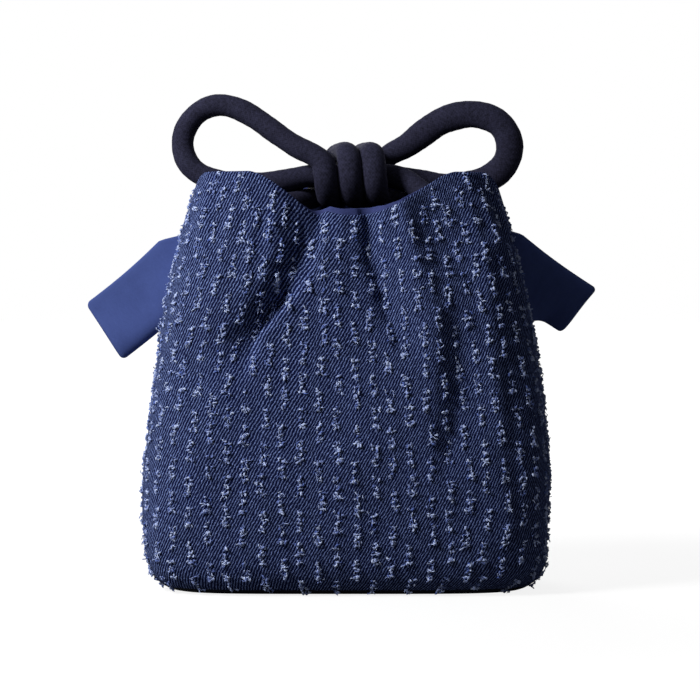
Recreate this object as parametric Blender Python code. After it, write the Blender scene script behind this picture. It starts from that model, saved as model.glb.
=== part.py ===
"""Kinchaku drawstring pouch: a denim bag with a flat base, a cotton lining, two cord
channels inside the mouth, one endless cord tied above it, and a pull tab on each side seam.

Metres, +Z up. The base stands on z = 0 at the origin, the front faces -Y.
Run with: blender --background --python part.py
"""
import math
from collections import namedtuple

import bmesh
import bpy
import numpy as np
from mathutils import Matrix, Vector

MM = 0.001

# Body of the bag, as half widths and half depths of its plan at three heights
RIM_HEIGHT = 209.5 * MM
BELLY_HEIGHT = 60.0 * MM
BASE_HALF_WIDTH = 97.8 * MM
BELLY_HALF_WIDTH = 99.7 * MM
MOUTH_HALF_WIDTH = 72.4 * MM
BASE_HALF_DEPTH = 50.0 * MM
BELLY_HALF_DEPTH = 53.0 * MM
MOUTH_HALF_DEPTH = 34.0 * MM
BASE_EDGE_RADIUS = 16.0 * MM
SHOULDER_POWER = 1.7
FLANK_POWER = 1.25

# Plan corners: a superellipse that is boxy at the base and rounder at the mouth
BASE_PLAN_POWER = 4.6
MOUTH_PLAN_POWER = 2.9

# Rim: four peaks, a deep dip at the front and back, a shallow one at each side seam
FRONT_DIP = 19.5 * MM
BACK_DIP = 5.5 * MM
CENTRE_DIP_REACH = 0.56
CENTRE_DIP_SHIFT = 0.008
CENTRE_DIP_POWER = 0.75
SEAM_DIP = 12.0 * MM
SEAM_DIP_START = 0.78

# Cloth
DENIM_THICKNESS = 2.0 * MM
LINING_THICKNESS = 1.0 * MM
LAYER_GAP = 0.6 * MM
LINING_PROUD = 2.5 * MM

# Cord and the two channels that hold it
CORD_DIAMETER = 11.0 * MM
CORD_CLEARANCE = 1.2 * MM
END_GAP = 0.3 * MM
CHANNEL_DROP = 39.5 * MM
CHANNEL_HEIGHT = RIM_HEIGHT - CHANNEL_DROP
CHANNEL_HALF_LENGTH = 46.0 * MM
CHANNEL_FLANGE = 6.0 * MM
CHANNEL_THICKNESS = 1.0 * MM

# Knot: two strands wound round two straight core strands
KNOT_HEIGHT = 209.5 * MM
KNOT_GAP = 0.9 * MM
KNOT_START_TURN = -0.75
KNOT_END_TURN = 0.56
KNOT_UPRIGHTNESS = 0.7
KNOT_PITCH_SLACK = 1.04
KNOT_SHIFT = 2.5 * MM
KNOT_SHIFT_START = 25.0 * MM
KNOT_SHIFT_END = 56.0 * MM

# Pull tabs
TAB_WIDTH = 32.0 * MM
TAB_THICKNESS = 7.5 * MM
TAB_CORNER_RADIUS = 3.0 * MM
TAB_LOWER_EDGE_SWELL = 0.35
TAB_END_THICKNESS_SHARE = 0.72
TAB_REACH = 46.0 * MM
TAB_ROOT_DEPTH = 14.0 * MM
TAB_SEAT_GAP = 0.3 * MM
TAB_SECTION_POWER = 3.0

# How finely the curved forms are cut into facets
COLUMN_COUNT = 96
EDGE_ROW_COUNT = 4
DENIM_ROW_COUNT = 13
LINING_ROW_COUNT = 10
CHANNEL_STATION_COUNT = 15
CHANNEL_ARC_STEP_COUNT = 6
RUN_POINT_COUNT = 13
WRAP_STEP_COUNT = 23
ROUTE_STEP = 8.0 * MM
ARC_SAMPLE_COUNT = 721

FRONT = -1
BACK = 1
LEFT = -1
RIGHT = 1

# How each tab hangs: seat height on its side seam, droop below level, swing towards the back,
# roll of its face about its own length, and how far its lower corner reaches past the upper
LEFT_SEAT_DROP = 51.5 * MM
RIGHT_SEAT_DROP = 42.5 * MM
Hang = namedtuple("Hang", "seat_height droop swing roll slant")
LEFT_HANG = Hang(
    RIM_HEIGHT - LEFT_SEAT_DROP, math.radians(42.0), 0.0, math.radians(-6.0), 0.145)
RIGHT_HANG = Hang(
    RIM_HEIGHT - RIGHT_SEAT_DROP, math.radians(33.0), math.radians(28.0), math.radians(52.0), 0.27)

# A fold is a soft valley in the front or back wall. Its line runs from x_low at height z_low
# to x_high at height z_high, and it is deepest at z_deep.
Fold = namedtuple("Fold", "side x_low z_low x_high z_high z_deep depth width")
FOLDS = [
    Fold(FRONT, -48 * MM, 108 * MM, -6 * MM, 270 * MM, 200 * MM, 10.5 * MM, 14.0 * MM),
    Fold(FRONT, 16 * MM, 116 * MM, 5 * MM, 270 * MM, 198 * MM, 5.5 * MM, 10.5 * MM),
    Fold(FRONT, 49 * MM, 12 * MM, 44 * MM, 178 * MM, 84 * MM, 5.0 * MM, 11.0 * MM),
    Fold(BACK, 48 * MM, 104 * MM, 8 * MM, 270 * MM, 200 * MM, 9.0 * MM, 15.0 * MM),
    Fold(BACK, -22 * MM, 112 * MM, -12 * MM, 270 * MM, 198 * MM, 5.0 * MM, 11.0 * MM),
    Fold(BACK, -42 * MM, 12 * MM, -46 * MM, 172 * MM, 84 * MM, 4.5 * MM, 11.0 * MM),
]
# Beside the valleys the cloth stands out in pleats. The cord channels lie behind the pleats.
PLEATS = [
    Fold(FRONT, -37 * MM, 100 * MM, 21 * MM, 236 * MM, 165 * MM, 3.8 * MM, 8.0 * MM),
    Fold(FRONT, -64 * MM, 104 * MM, -12 * MM, 240 * MM, 165 * MM, 2.4 * MM, 11.0 * MM),
    Fold(FRONT, 36 * MM, 92 * MM, 15 * MM, 236 * MM, 160 * MM, 3.4 * MM, 7.5 * MM),
    Fold(FRONT, 63 * MM, 84 * MM, 54 * MM, 246 * MM, 160 * MM, 2.2 * MM, 9.0 * MM),
    Fold(BACK, 40 * MM, 98 * MM, -17 * MM, 236 * MM, 165 * MM, 3.4 * MM, 8.0 * MM),
    Fold(BACK, 62 * MM, 112 * MM, 16 * MM, 240 * MM, 170 * MM, 2.3 * MM, 11.0 * MM),
    Fold(BACK, -38 * MM, 100 * MM, -24 * MM, 240 * MM, 165 * MM, 2.8 * MM, 8.0 * MM),
    Fold(BACK, -63 * MM, 90 * MM, -53 * MM, 246 * MM, 165 * MM, 2.1 * MM, 9.0 * MM),
]

# Routes of the free cord, chosen by hand: loop and tails, as x, y, z in millimetres
RIGHT_LOOP = [
    (20.6, 14.6, 221.0), (29.0, 12.4, 225.0), (38.8, 9.8, 231.6), (50.6, 6.6, 238.2),
    (64.9, 3.6, 241.0), (77.4, 1.2, 237.2), (83.2, 0.2, 229.2), (83.9, 1.0, 220.8),
    (80.2, 2.6, 213.2), (73.0, 4.2, 208.0), (62.5, 5.4, 205.0), (49.0, 6.0, 203.9),
    (36.0, 6.0, 206.0),
]
LEFT_LOOP = [
    (-18.6, -14.8, 219.4), (-27.0, -12.4, 223.4), (-36.0, -9.2, 230.0), (-46.0, -5.6, 238.2),
    (-54.5, -2.8, 243.2), (-63.8, -0.6, 245.4), (-72.4, 1.0, 243.2), (-79.0, 1.4, 237.4),
    (-82.7, 0.6, 229.4), (-82.2, -1.2, 220.4), (-78.0, -3.4, 213.2), (-70.3, -4.8, 208.3),
    (-58.0, -5.8, 205.4), (-45.5, -6.0, 205.0), (-33.0, -6.0, 206.6),
]
LOW_TAIL = [
    (-28.6, -8.6, 195.4), (-37.8, -13.8, 194.2), (-46.8, -17.2, 193.4), (-54.8, -18.7, 190.4),
    (-60.4, -19.8, 184.4), (-61.0, -21.8, 176.6), (-57.0, -24.7, 170.8),
]
CORE_TAIL = [
    (-27.6, 8.0, 207.6), (-37.0, 12.0, 200.8), (-47.0, 16.4, 195.2), (-55.0, 18.4, 190.8),
    (-60.4, 19.8, 184.4), (-61.0, 21.8, 176.6), (-57.0, 24.8, 170.7),
]
LEAD_LENGTH = 3.0 * MM


def smoothstep(t):
    t = min(1.0, max(0.0, t))
    return t * t * (3.0 - 2.0 * t)


def grown(low, high, share, power):
    """A size that starts at low and reaches high as share goes from 0 to 1."""
    return low + (high - low) * share**power


def half_size(z, base, belly, mouth, power):
    """Half width or half depth of the plan at height z, before the base edge rounds it."""
    if z < BELLY_HEIGHT:
        return grown(belly, base, 1.0 - z / BELLY_HEIGHT, 2.0)
    share = (z - BELLY_HEIGHT) / (RIM_HEIGHT - BELLY_HEIGHT)
    return grown(belly, mouth, share, power)


def plan_sizes(z, setback):
    """Half width, half depth and superellipse power of the plan at height z."""
    half_width = half_size(z, BASE_HALF_WIDTH, BELLY_HALF_WIDTH, MOUTH_HALF_WIDTH, SHOULDER_POWER)
    half_depth = half_size(z, BASE_HALF_DEPTH, BELLY_HALF_DEPTH, MOUTH_HALF_DEPTH, FLANK_POWER)
    power = BASE_PLAN_POWER + (MOUTH_PLAN_POWER - BASE_PLAN_POWER) * min(1.0, z / RIM_HEIGHT)
    return half_width - setback, half_depth - setback, power


def plan_outline(half_width, half_depth, power):
    """The plan's x, y and length so far, from the left seam round the front and back again."""
    angle = np.linspace(math.pi, 3.0 * math.pi, ARC_SAMPLE_COUNT)
    c, s = np.cos(angle), np.sin(angle)
    x = half_width * np.sign(c) * np.abs(c) ** (2.0 / power)
    y = half_depth * np.sign(s) * np.abs(s) ** (2.0 / power)
    step = np.hypot(np.diff(x), np.diff(y))
    return x, y, np.concatenate([[0.0], np.cumsum(step)])


def plan_point(turn, sizes):
    """Point of the plan at a share of its length: 0 left seam, 0.25 front, 0.5 right seam."""
    x, y, run = plan_outline(*sizes)
    at = (turn % 1.0) * run[-1]
    return float(np.interp(at, run, x)), float(np.interp(at, run, y))


def centre_dip(turn):
    """1 at the middle of the front or back rim, 0 from CENTRE_DIP_REACH of the way out."""
    out = abs(((turn - CENTRE_DIP_SHIFT) % 0.5) - 0.25) / 0.25
    if out >= CENTRE_DIP_REACH:
        return 0.0
    wave = 0.5 + 0.5 * math.cos(math.pi * out / CENTRE_DIP_REACH)
    return wave**CENTRE_DIP_POWER


def rim_height(turn):
    out = abs((turn % 0.5) - 0.25) / 0.25
    seam = smoothstep((out - SEAM_DIP_START) / (1.0 - SEAM_DIP_START))
    deep = FRONT_DIP if turn % 1.0 < 0.5 else BACK_DIP
    return RIM_HEIGHT - deep * centre_dip(turn) - SEAM_DIP * seam


def fold_depth(x, y, z, folds):
    """How far some folds move a point of the wall, which lies at x, y, z."""
    pull = 0.0
    for fold in folds:
        if y * fold.side <= 0.0 or z <= fold.z_low:
            continue
        if z < fold.z_deep:
            strength = smoothstep((z - fold.z_low) / (fold.z_deep - fold.z_low))
        else:
            strength = 1.0 - smoothstep((z - fold.z_deep) / (fold.z_high - fold.z_deep))
        share = (z - fold.z_low) / (fold.z_high - fold.z_low)
        line = fold.x_low + (fold.x_high - fold.x_low) * share
        pull += fold.depth * strength * math.exp(-(((x - line) / fold.width) ** 2))
    return pull


def skin(turn, rise, pleated):
    """Point of the bag's outer face. rise runs 0 to 1 round the base edge, 1 to 2 up the wall."""
    if rise < 1.0:
        lean = rise * math.pi / 2.0
        z = BASE_EDGE_RADIUS * (1.0 - math.cos(lean))
        setback = BASE_EDGE_RADIUS * (1.0 - math.sin(lean))
    else:
        z = BASE_EDGE_RADIUS + (rise - 1.0) * (rim_height(turn) - BASE_EDGE_RADIUS)
        setback = 0.0
    x, y = plan_point(turn, plan_sizes(z, setback))
    pull = fold_depth(x, y, z, FOLDS) - (fold_depth(x, y, z, PLEATS) if pleated else 0.0)
    y -= pull * math.copysign(1.0, y)
    return np.array([x, y, z])


def skin_inset(turn, rise, inset, pleated=True):
    """Point that lies inset behind the bag's outer face, measured square to it."""
    side_step, rise_step = 0.002, 0.01
    across = skin(turn + side_step, rise, pleated) - skin(turn - side_step, rise, pleated)
    low, high = max(0.0, rise - rise_step), rise + rise_step
    up = skin(turn, high, pleated) - skin(turn, low, pleated)
    outward = np.cross(across, up)
    outward /= np.linalg.norm(outward)
    return skin(turn, rise, pleated) - outward * inset


def rise_at(turn, z):
    """The rise at which the wall reaches height z."""
    return 1.0 + (z - BASE_EDGE_RADIUS) / (rim_height(turn) - BASE_EDGE_RADIUS)


def wall_inset(turn, z, inset):
    """Point that lies inset behind the wall at height z, as if the wall had no pleats."""
    return skin_inset(turn, rise_at(turn, z), inset, pleated=False)


def material(name, colour, roughness):
    made = bpy.data.materials.new(name)
    made.use_nodes = True
    shader = made.node_tree.nodes["Principled BSDF"]
    shader.inputs["Base Color"].default_value = (*colour, 1.0)
    shader.inputs["Roughness"].default_value = roughness
    shader.inputs["Metallic"].default_value = 0.0
    return made


def add_object(name, data, finish):
    made = bpy.data.objects.new(name, data)
    bpy.context.scene.collection.objects.link(made)
    data.materials.append(finish)
    return made


def mesh_object(name, mesh, finish):
    made = add_object(name, mesh, finish)
    mesh.shade_smooth()
    mesh.set_sharp_from_angle(angle=math.radians(40.0))
    return made


def loft_rings(bm, rings, closed_round=True):
    """Adds rings of points and the quads between each ring and the next."""
    made = [[bm.verts.new(point) for point in ring] for ring in rings]
    for low, high in zip(made, made[1:]):
        count = len(low)
        for i in range(count if closed_round else count - 1):
            j = (i + 1) % count
            bm.faces.new((low[i], low[j], high[j], high[i]))
    return made


def bag_skin(name, inset, rows, extra_rise):
    """Open skin of the bag, inset behind the outer face, with a flat base and an open mouth."""
    bm = bmesh.new()
    turns = [column / COLUMN_COUNT for column in range(COLUMN_COUNT)]
    rings = []
    for row in range(EDGE_ROW_COUNT):
        rings.append([skin_inset(turn, row / EDGE_ROW_COUNT, inset) for turn in turns])
    for row in range(rows + 1):
        ring = []
        for turn in turns:
            top = rise_at(turn, rim_height(turn) + extra_rise * centre_dip(turn))
            ring.append(skin_inset(turn, 1.0 + (top - 1.0) * row / rows, inset))
        rings.append(ring)
    made = loft_rings(bm, rings)
    bm.faces.new(list(reversed(made[0])))
    mesh = bpy.data.meshes.new(name)
    bm.to_mesh(mesh)
    bm.free()
    return mesh


def thicken(made, thickness):
    """Gives an open skin its cloth thickness, on the inner side."""
    solidify = made.modifiers.new("cloth", "SOLIDIFY")
    solidify.thickness = thickness
    solidify.offset = -1.0
    solidify.use_even_offset = True


def make_outer_bag(finish):
    made = mesh_object("outer_bag", bag_skin("outer_bag", 0.0, DENIM_ROW_COUNT, 0.0), finish)
    thicken(made, DENIM_THICKNESS)


def make_lining(finish):
    inset = DENIM_THICKNESS + LAYER_GAP
    made = mesh_object("lining", bag_skin("lining", inset, LINING_ROW_COUNT, LINING_PROUD), finish)
    thicken(made, LINING_THICKNESS)


# Depths behind the bag's outer face at which the cord channel's layers lie
LINING_FACE = DENIM_THICKNESS + LAYER_GAP + LINING_THICKNESS
STRIP_FACE = LINING_FACE + LAYER_GAP
TUNNEL_RADIUS = CORD_DIAMETER / 2.0 + CORD_CLEARANCE
RUN_INSET = LINING_FACE + TUNNEL_RADIUS


def channel_section():
    """Hat-shaped section of the channel strip, as height and inset from the wall."""
    wall_side, bag_side = [], []
    for radius, face, points in (
        (TUNNEL_RADIUS, STRIP_FACE, wall_side),
        (TUNNEL_RADIUS + CHANNEL_THICKNESS, STRIP_FACE + CHANNEL_THICKNESS, bag_side),
    ):
        tip = TUNNEL_RADIUS + CHANNEL_THICKNESS + CHANNEL_FLANGE
        points.append((tip, face))
        points.append((radius, face))
        for step in range(CHANNEL_ARC_STEP_COUNT + 1):
            angle = math.pi * step / CHANNEL_ARC_STEP_COUNT
            points.append((radius * math.cos(angle), RUN_INSET + radius * math.sin(angle)))
        points.append((-radius, face))
        points.append((-tip, face))
    return wall_side + bag_side[::-1]


def run_turns(side, count):
    """Turns along the front or back wall over the length of a channel, left to right."""
    mouth = plan_outline(*plan_sizes(CHANNEL_HEIGHT, 0.0))[2][-1]
    reach = CHANNEL_HALF_LENGTH / mouth
    middle = 0.25 if side == FRONT else 0.75
    turns = [middle + reach * (2.0 * i / (count - 1) - 1.0) for i in range(count)]
    return turns if side == FRONT else turns[::-1]


def make_channel(name, side, finish):
    """Strip of cloth sewn inside the mouth, bulging into a tunnel that is open at both ends."""
    bm = bmesh.new()
    section = channel_section()
    rings = []
    for turn in run_turns(side, CHANNEL_STATION_COUNT):
        rings.append([wall_inset(turn, CHANNEL_HEIGHT + up, inset) for up, inset in section])
    made = loft_rings(bm, rings)
    bm.faces.new(list(reversed(made[0])))
    bm.faces.new(made[-1])
    bmesh.ops.recalc_face_normals(bm, faces=bm.faces)
    mesh = bpy.data.meshes.new(name)
    bm.to_mesh(mesh)
    bm.free()
    mesh_object(name, mesh, finish)


def run_points(side):
    """Centre line of the cord inside a channel, left to right."""
    turns = run_turns(side, RUN_POINT_COUNT)
    return [wall_inset(turn, CHANNEL_HEIGHT, RUN_INSET) for turn in turns]


def smooth_route(points, step):
    """Evenly spaced points along a smooth curve through the given ones."""
    p = np.array(points, float)
    p = np.vstack([2.0 * p[0] - p[1], p, 2.0 * p[-1] - p[-2]])
    fine = []
    for a, b, c, d in zip(p, p[1:], p[2:], p[3:]):
        for t in np.linspace(0.0, 1.0, 16, endpoint=False):
            line = 2.0 * b + (c - a) * t + (2.0 * a - 5.0 * b + 4.0 * c - d) * t**2
            fine.append((line + (3.0 * b - a - 3.0 * c + d) * t**3) / 2.0)
    fine = np.array(fine + [p[-2]])
    run = np.concatenate([[0.0], np.cumsum(np.linalg.norm(np.diff(fine, axis=0), axis=1))])
    at = np.linspace(0.0, run[-1], max(2, round(run[-1] / step) + 1))
    return np.stack([np.interp(at, run, fine[:, k]) for k in range(3)], axis=1)


def stadium(share):
    """Point at a share of a lap round the two core strands, from the front, over the bottom."""
    spread = (CORD_DIAMETER + KNOT_GAP) / 2.0
    radius = CORD_DIAMETER + KNOT_GAP
    arc, straight = math.pi * radius, 2.0 * spread
    at = (share % 1.0) * 2.0 * (arc + straight)
    if at < arc / 2.0:
        angle = at / radius
        return -spread - radius * math.cos(angle), -radius * math.sin(angle)
    at -= arc / 2.0
    if at < straight:
        return at - spread, -radius
    at -= straight
    if at < arc:
        angle = at / radius
        return spread + radius * math.sin(angle), -radius * math.cos(angle)
    at -= arc
    if at < straight:
        return spread - at, radius
    angle = (at - straight) / radius
    return -spread - radius * math.sin(angle), radius * math.cos(angle)


def knot_wraps(side):
    """One strand's turns round the core, entering low on its side and leaving on the other.

    Each strand passes the front of the knot nearly upright, and gains its length behind.
    """
    pitch = 2.0 * (CORD_DIAMETER + KNOT_GAP) * KNOT_PITCH_SLACK
    lag = -KNOT_UPRIGHTNESS if side == LEFT else KNOT_UPRIGHTNESS
    points = []
    for i in range(WRAP_STEP_COUNT):
        share = KNOT_START_TURN + (KNOT_END_TURN - KNOT_START_TURN) * i / (WRAP_STEP_COUNT - 1)
        y, z = stadium(share)
        along = share + lag * math.sin(2.0 * math.pi * share) / (2.0 * math.pi)
        points.append((along * pitch, y, KNOT_HEIGHT + z))
    return points if side == LEFT else turned_half(points)


def turned_half(points):
    """The same points, turned half a turn about the vertical."""
    return [(-x, -y, z) for x, y, z in points]


def drawn_aside(points):
    """The same points, with the knot and what lies near it shifted towards +X."""
    moved = []
    for x, y, z in points:
        beyond = (abs(x) - KNOT_SHIFT_START) / (KNOT_SHIFT_END - KNOT_SHIFT_START)
        above = (z - CHANNEL_HEIGHT) / (KNOT_HEIGHT - 2.0 * CORD_DIAMETER - CHANNEL_HEIGHT)
        moved.append((x + KNOT_SHIFT * (1.0 - smoothstep(beyond)) * smoothstep(above), y, z))
    return moved


def bight_route(side):
    """Whole route of the free cord whose tails are on one side and whose loop is on the other."""
    spread = (CORD_DIAMETER + KNOT_GAP) / 2.0
    half_knot = -KNOT_START_TURN * 2.0 * (CORD_DIAMETER + KNOT_GAP) * KNOT_PITCH_SLACK
    low = [tuple(c * MM for c in point) for point in LOW_TAIL]
    core = [tuple(c * MM for c in point) for point in CORE_TAIL]
    straight = [(x, spread, KNOT_HEIGHT) for x in (half_knot, 0.0, -half_knot)]
    wraps = knot_wraps(side)
    loop = RIGHT_LOOP if side == LEFT else LEFT_LOOP
    loop = [tuple(c * MM for c in point) for point in loop]
    if side == RIGHT:
        low, core, straight = turned_half(low), turned_half(core), turned_half(straight)
    near, far = (FRONT, BACK) if side == LEFT else (BACK, FRONT)
    near_run, far_run = run_points(near), run_points(far)
    end = 0 if side == LEFT else -1
    ahead = 1 if side == LEFT else -2
    faces, leads = [], []
    for run in (near_run, far_run):
        out = run[end] - run[ahead]
        out = out / np.linalg.norm(out)
        faces.append(run[end] + out * END_GAP)
        leads.append(run[end] + out * (END_GAP + LEAD_LENGTH))
    before = smooth_route([leads[0], *low[::-1], wraps[0]], ROUTE_STEP)
    after = smooth_route([wraps[-1], *loop, *straight, *core, leads[1]], ROUTE_STEP)
    return drawn_aside([faces[0], *before[:-1], *wraps, *after[1:], faces[1]])


def make_cord(name, points, finish):
    curve = bpy.data.curves.new(name, "CURVE")
    curve.dimensions = "3D"
    curve.bevel_depth = CORD_DIAMETER / 2.0
    curve.bevel_resolution = 2
    curve.use_fill_caps = True
    spline = curve.splines.new("POLY")
    spline.points.add(len(points) - 1)
    for spot, point in zip(spline.points, points):
        spot.co = (*point, 1.0)
    add_object(name, curve, finish)


def seat_cutter():
    """Closed copy of the bag's outer form, grown by the tabs' seat gap."""
    bm = bmesh.new()
    bm.from_mesh(bag_skin("seat_cutter", -TAB_SEAT_GAP, DENIM_ROW_COUNT, 0.0))
    rim = [edge for edge in bm.edges if edge.is_boundary]
    bmesh.ops.contextual_create(bm, geom=rim)
    bmesh.ops.recalc_face_normals(bm, faces=bm.faces)
    mesh = bpy.data.meshes.new("seat_cutter")
    bm.to_mesh(mesh)
    bm.free()
    cutter = bpy.data.objects.new("seat_cutter", mesh)
    bpy.context.scene.collection.objects.link(cutter)
    cutter.hide_render = True
    cutter.display_type = "WIRE"
    return cutter


def tab_rings(slant):
    """Sections of a pull tab, from its root to its end, as length, width and thickness."""
    length = TAB_ROOT_DEPTH + TAB_REACH
    round_start = length - TAB_CORNER_RADIUS
    corner = [math.radians(a) for a in (0.0, 30.0, 55.0, 75.0, 90.0)]
    stations = [0.0, length * 0.45, length * 0.75]
    stations += [round_start + TAB_CORNER_RADIUS * math.sin(a) for a in corner]
    rings = []
    for along in stations:
        past = max(0.0, (along - round_start) / TAB_CORNER_RADIUS)
        trim = TAB_CORNER_RADIUS * (1.0 - math.sqrt(max(0.0, 1.0 - past * past)))
        half_width = TAB_WIDTH / 2.0 - trim
        flatten = 1.0 - (1.0 - TAB_END_THICKNESS_SHARE) * smoothstep(along / length)
        half_thick = (TAB_THICKNESS / 2.0) * flatten * (1.0 - 0.55 * past**3)
        ring = []
        for i in range(20):
            angle = 2.0 * math.pi * i / 20
            c, s = math.cos(angle), math.sin(angle)
            wide = math.copysign(abs(c) ** (2.0 / TAB_SECTION_POWER), c) * half_width
            thick = math.copysign(abs(s) ** (2.0 / TAB_SECTION_POWER), s) * half_thick
            thick *= 1.0 - TAB_LOWER_EDGE_SWELL * wide / half_width
            ring.append((along - TAB_ROOT_DEPTH - slant * wide * along / length, wide, thick))
        rings.append(ring)
    return rings


def make_tab(name, side, hang, cutter, finish):
    """Flat padded strap end, seated on the side seam and hanging down and out from it."""
    turn = Matrix.Rotation(side * hang.swing, 3, "Z") @ Matrix.Rotation(side * hang.droop, 3, "Y")
    turn = turn @ Matrix.Rotation(hang.roll, 3, "X")
    out, up = turn @ Vector((side, 0, 0)), turn @ Vector((0, 0, 1))
    through = turn @ Vector((0, 1, 0))
    seat_turn = 0.0 if side == LEFT else 0.5
    seat = Vector(wall_inset(seat_turn, hang.seat_height, 0.0))
    bm = bmesh.new()
    made = loft_rings(bm, [
        [seat + out * along + up * wide + through * thick for along, wide, thick in ring]
        for ring in tab_rings(hang.slant)
    ])
    bm.faces.new(list(reversed(made[0])))
    bm.faces.new(made[-1])
    bmesh.ops.recalc_face_normals(bm, faces=bm.faces)
    mesh = bpy.data.meshes.new(name)
    bm.to_mesh(mesh)
    bm.free()
    tab = mesh_object(name, mesh, finish)
    cut = tab.modifiers.new("seat", "BOOLEAN")
    cut.operation = "DIFFERENCE"
    cut.object = cutter


def main():
    for old in list(bpy.data.objects):
        bpy.data.objects.remove(old)
    denim = material("clipped_denim", (0.030, 0.040, 0.100), 0.85)
    cotton = material("lining_cotton", (0.045, 0.052, 0.120), 0.80)
    cord = material("cord_cotton", (0.022, 0.022, 0.036), 0.90)
    strap = material("tab_cotton", (0.060, 0.075, 0.190), 0.75)
    make_outer_bag(denim)
    make_lining(cotton)
    make_channel("channel_front", FRONT, cotton)
    make_channel("channel_back", BACK, cotton)
    make_cord("cord_front_run", run_points(FRONT), cord)
    make_cord("cord_back_run", run_points(BACK), cord)
    make_cord("cord_left_bight", bight_route(LEFT), cord)
    make_cord("cord_right_bight", bight_route(RIGHT), cord)
    cutter = seat_cutter()
    make_tab("tab_left", LEFT, LEFT_HANG, cutter, strap)
    make_tab("tab_right", RIGHT, RIGHT_HANG, cutter, strap)


main()
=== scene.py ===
# %% [markdown]
# Kinchaku drawstring pouch
# A small bag of dark indigo denim stands on its flat base. Short pale tufts of clipped yarn
# stand on the cloth in staggered columns. A thick cotton cord gathers the mouth and is tied in
# a bow of two loops, and a padded pull tab of plain blue cotton hangs from each side seam.
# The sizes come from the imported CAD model, which is loaded first and never changed. Each cloth
# piece below is a finer copy of one of its solids, in the same place.

# %% Load the fixed frame
import math

import bmesh
import bpy
import numpy as np
from mathutils import Matrix, Vector


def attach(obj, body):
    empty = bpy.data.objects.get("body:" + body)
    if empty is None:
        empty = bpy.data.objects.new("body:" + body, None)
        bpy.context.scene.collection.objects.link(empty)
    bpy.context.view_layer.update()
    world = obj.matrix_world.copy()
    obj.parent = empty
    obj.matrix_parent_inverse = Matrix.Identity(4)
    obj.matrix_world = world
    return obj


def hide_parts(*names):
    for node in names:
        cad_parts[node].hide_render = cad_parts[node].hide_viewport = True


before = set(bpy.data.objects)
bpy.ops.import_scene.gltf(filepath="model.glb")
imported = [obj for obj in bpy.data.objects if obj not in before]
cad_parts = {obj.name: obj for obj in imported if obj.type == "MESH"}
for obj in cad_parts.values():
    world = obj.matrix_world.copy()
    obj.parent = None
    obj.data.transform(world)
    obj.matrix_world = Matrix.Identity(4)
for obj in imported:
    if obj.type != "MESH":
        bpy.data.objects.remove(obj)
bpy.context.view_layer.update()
MM = 0.001

# %% [markdown]
# Colour and nodes
# Colours are written as sRGB hex, as a colour picker gives them, and turned to linear light for
# the shaders. One helper adds any node, so that shader trees and geometry trees read alike: it
# sets the node's properties, then fills or links its inputs by name or by number.


# %% Colour and node helpers
def linear(hex_colour):
    """Linear RGBA of an sRGB hex colour."""
    parts = [int(hex_colour[i : i + 2], 16) / 255.0 for i in (1, 3, 5)]
    return (*[c / 12.92 if c <= 0.04045 else ((c + 0.055) / 1.055) ** 2.4 for c in parts], 1.0)


def add_node(tree, kind, settings=None, inputs=None):
    """Adds a node, sets its properties, and sets or links its inputs."""
    made = tree.nodes.new(kind)
    for name, value in (settings or {}).items():
        setattr(made, name, value)
    for key, value in (inputs or {}).items():
        if isinstance(value, bpy.types.NodeSocket):
            tree.links.new(value, made.inputs[key])
        else:
            made.inputs[key].default_value = value
    return made


def smoothstep(t):
    t = np.clip(t, 0.0, 1.0)
    return t * t * (3.0 - 2.0 * t)


# %% [markdown]
# The form of the bag
# The bag is a loft: its plan is a rounded oblong that is boxy at the base and rounder at the
# mouth, and it shrinks towards the mouth in a soft curve. A point on the cloth is named by its
# turn, the share of the way round from the left seam past the front, and by its rise, from 0 to
# 1 round the base edge and from 1 to 2 up the wall to the rim. The plan's shape is worked out
# once at a set of heights and then read between them, which is quick for many thousand points.

# %% Plan of the bag at each height
RIM_HEIGHT, BELLY_HEIGHT, BASE_EDGE = 209.5 * MM, 60.0 * MM, 16.0 * MM
HALF_WIDTHS = (99.9 * MM, 102.2 * MM, 74.6 * MM)
HALF_DEPTHS = (50.0 * MM, 53.0 * MM, 34.0 * MM)
WIDTH_TAPER, DEPTH_TAPER = 1.7, 1.25
BOXY_BASE, ROUNDER_MOUTH = 4.6, 1.7
# The front edge dips 2.5 mm lower than the solid's, so that the facing shows as in the photograph
FRONT_DIP, BACK_DIP, SEAM_DIP = 22.0 * MM, 5.5 * MM, 12.0 * MM
DIP_MIDDLE, DIP_REACH, DIP_POWER, SEAM_REACH = 0.008, 0.56, 0.75, 0.22
CLOTH, LINING, LAYER_GAP = 2.0 * MM, 1.0 * MM, 0.6 * MM
LINING_FACE = CLOTH + LAYER_GAP + LINING
CLOTH_ROUND = 560.0 * MM
LAP_TURN, LAP_NOTCH, LAP_LEFT, LAP_RIGHT = 0.214, 3.5 * MM, 0.026, 0.007
# The stuffed bag stands a little further over to the right than the solid
STUFFED_SIDE = 0.9 * MM
TABLE_ROWS, TABLE_TURNS, TABLE_TOP = 120, 1440, 230.0 * MM


def half_size(z, sizes, power):
    base, belly, mouth = sizes
    low = belly + (base - belly) * np.clip(1.0 - z / BELLY_HEIGHT, 0.0, 1.0) ** 2
    share = np.clip((z - BELLY_HEIGHT) / (RIM_HEIGHT - BELLY_HEIGHT), 0.0, None)
    return low + (mouth - belly) * share**power


def half_plan(z):
    """Half width and half depth of the plan at a height."""
    return half_size(z, HALF_WIDTHS, WIDTH_TAPER), half_size(z, HALF_DEPTHS, DEPTH_TAPER)


def plan_power(z):
    """The plan's superellipse power: boxy at the base, rounder at the mouth."""
    return BOXY_BASE - ROUNDER_MOUTH * np.minimum(1.0, z / RIM_HEIGHT)


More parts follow.
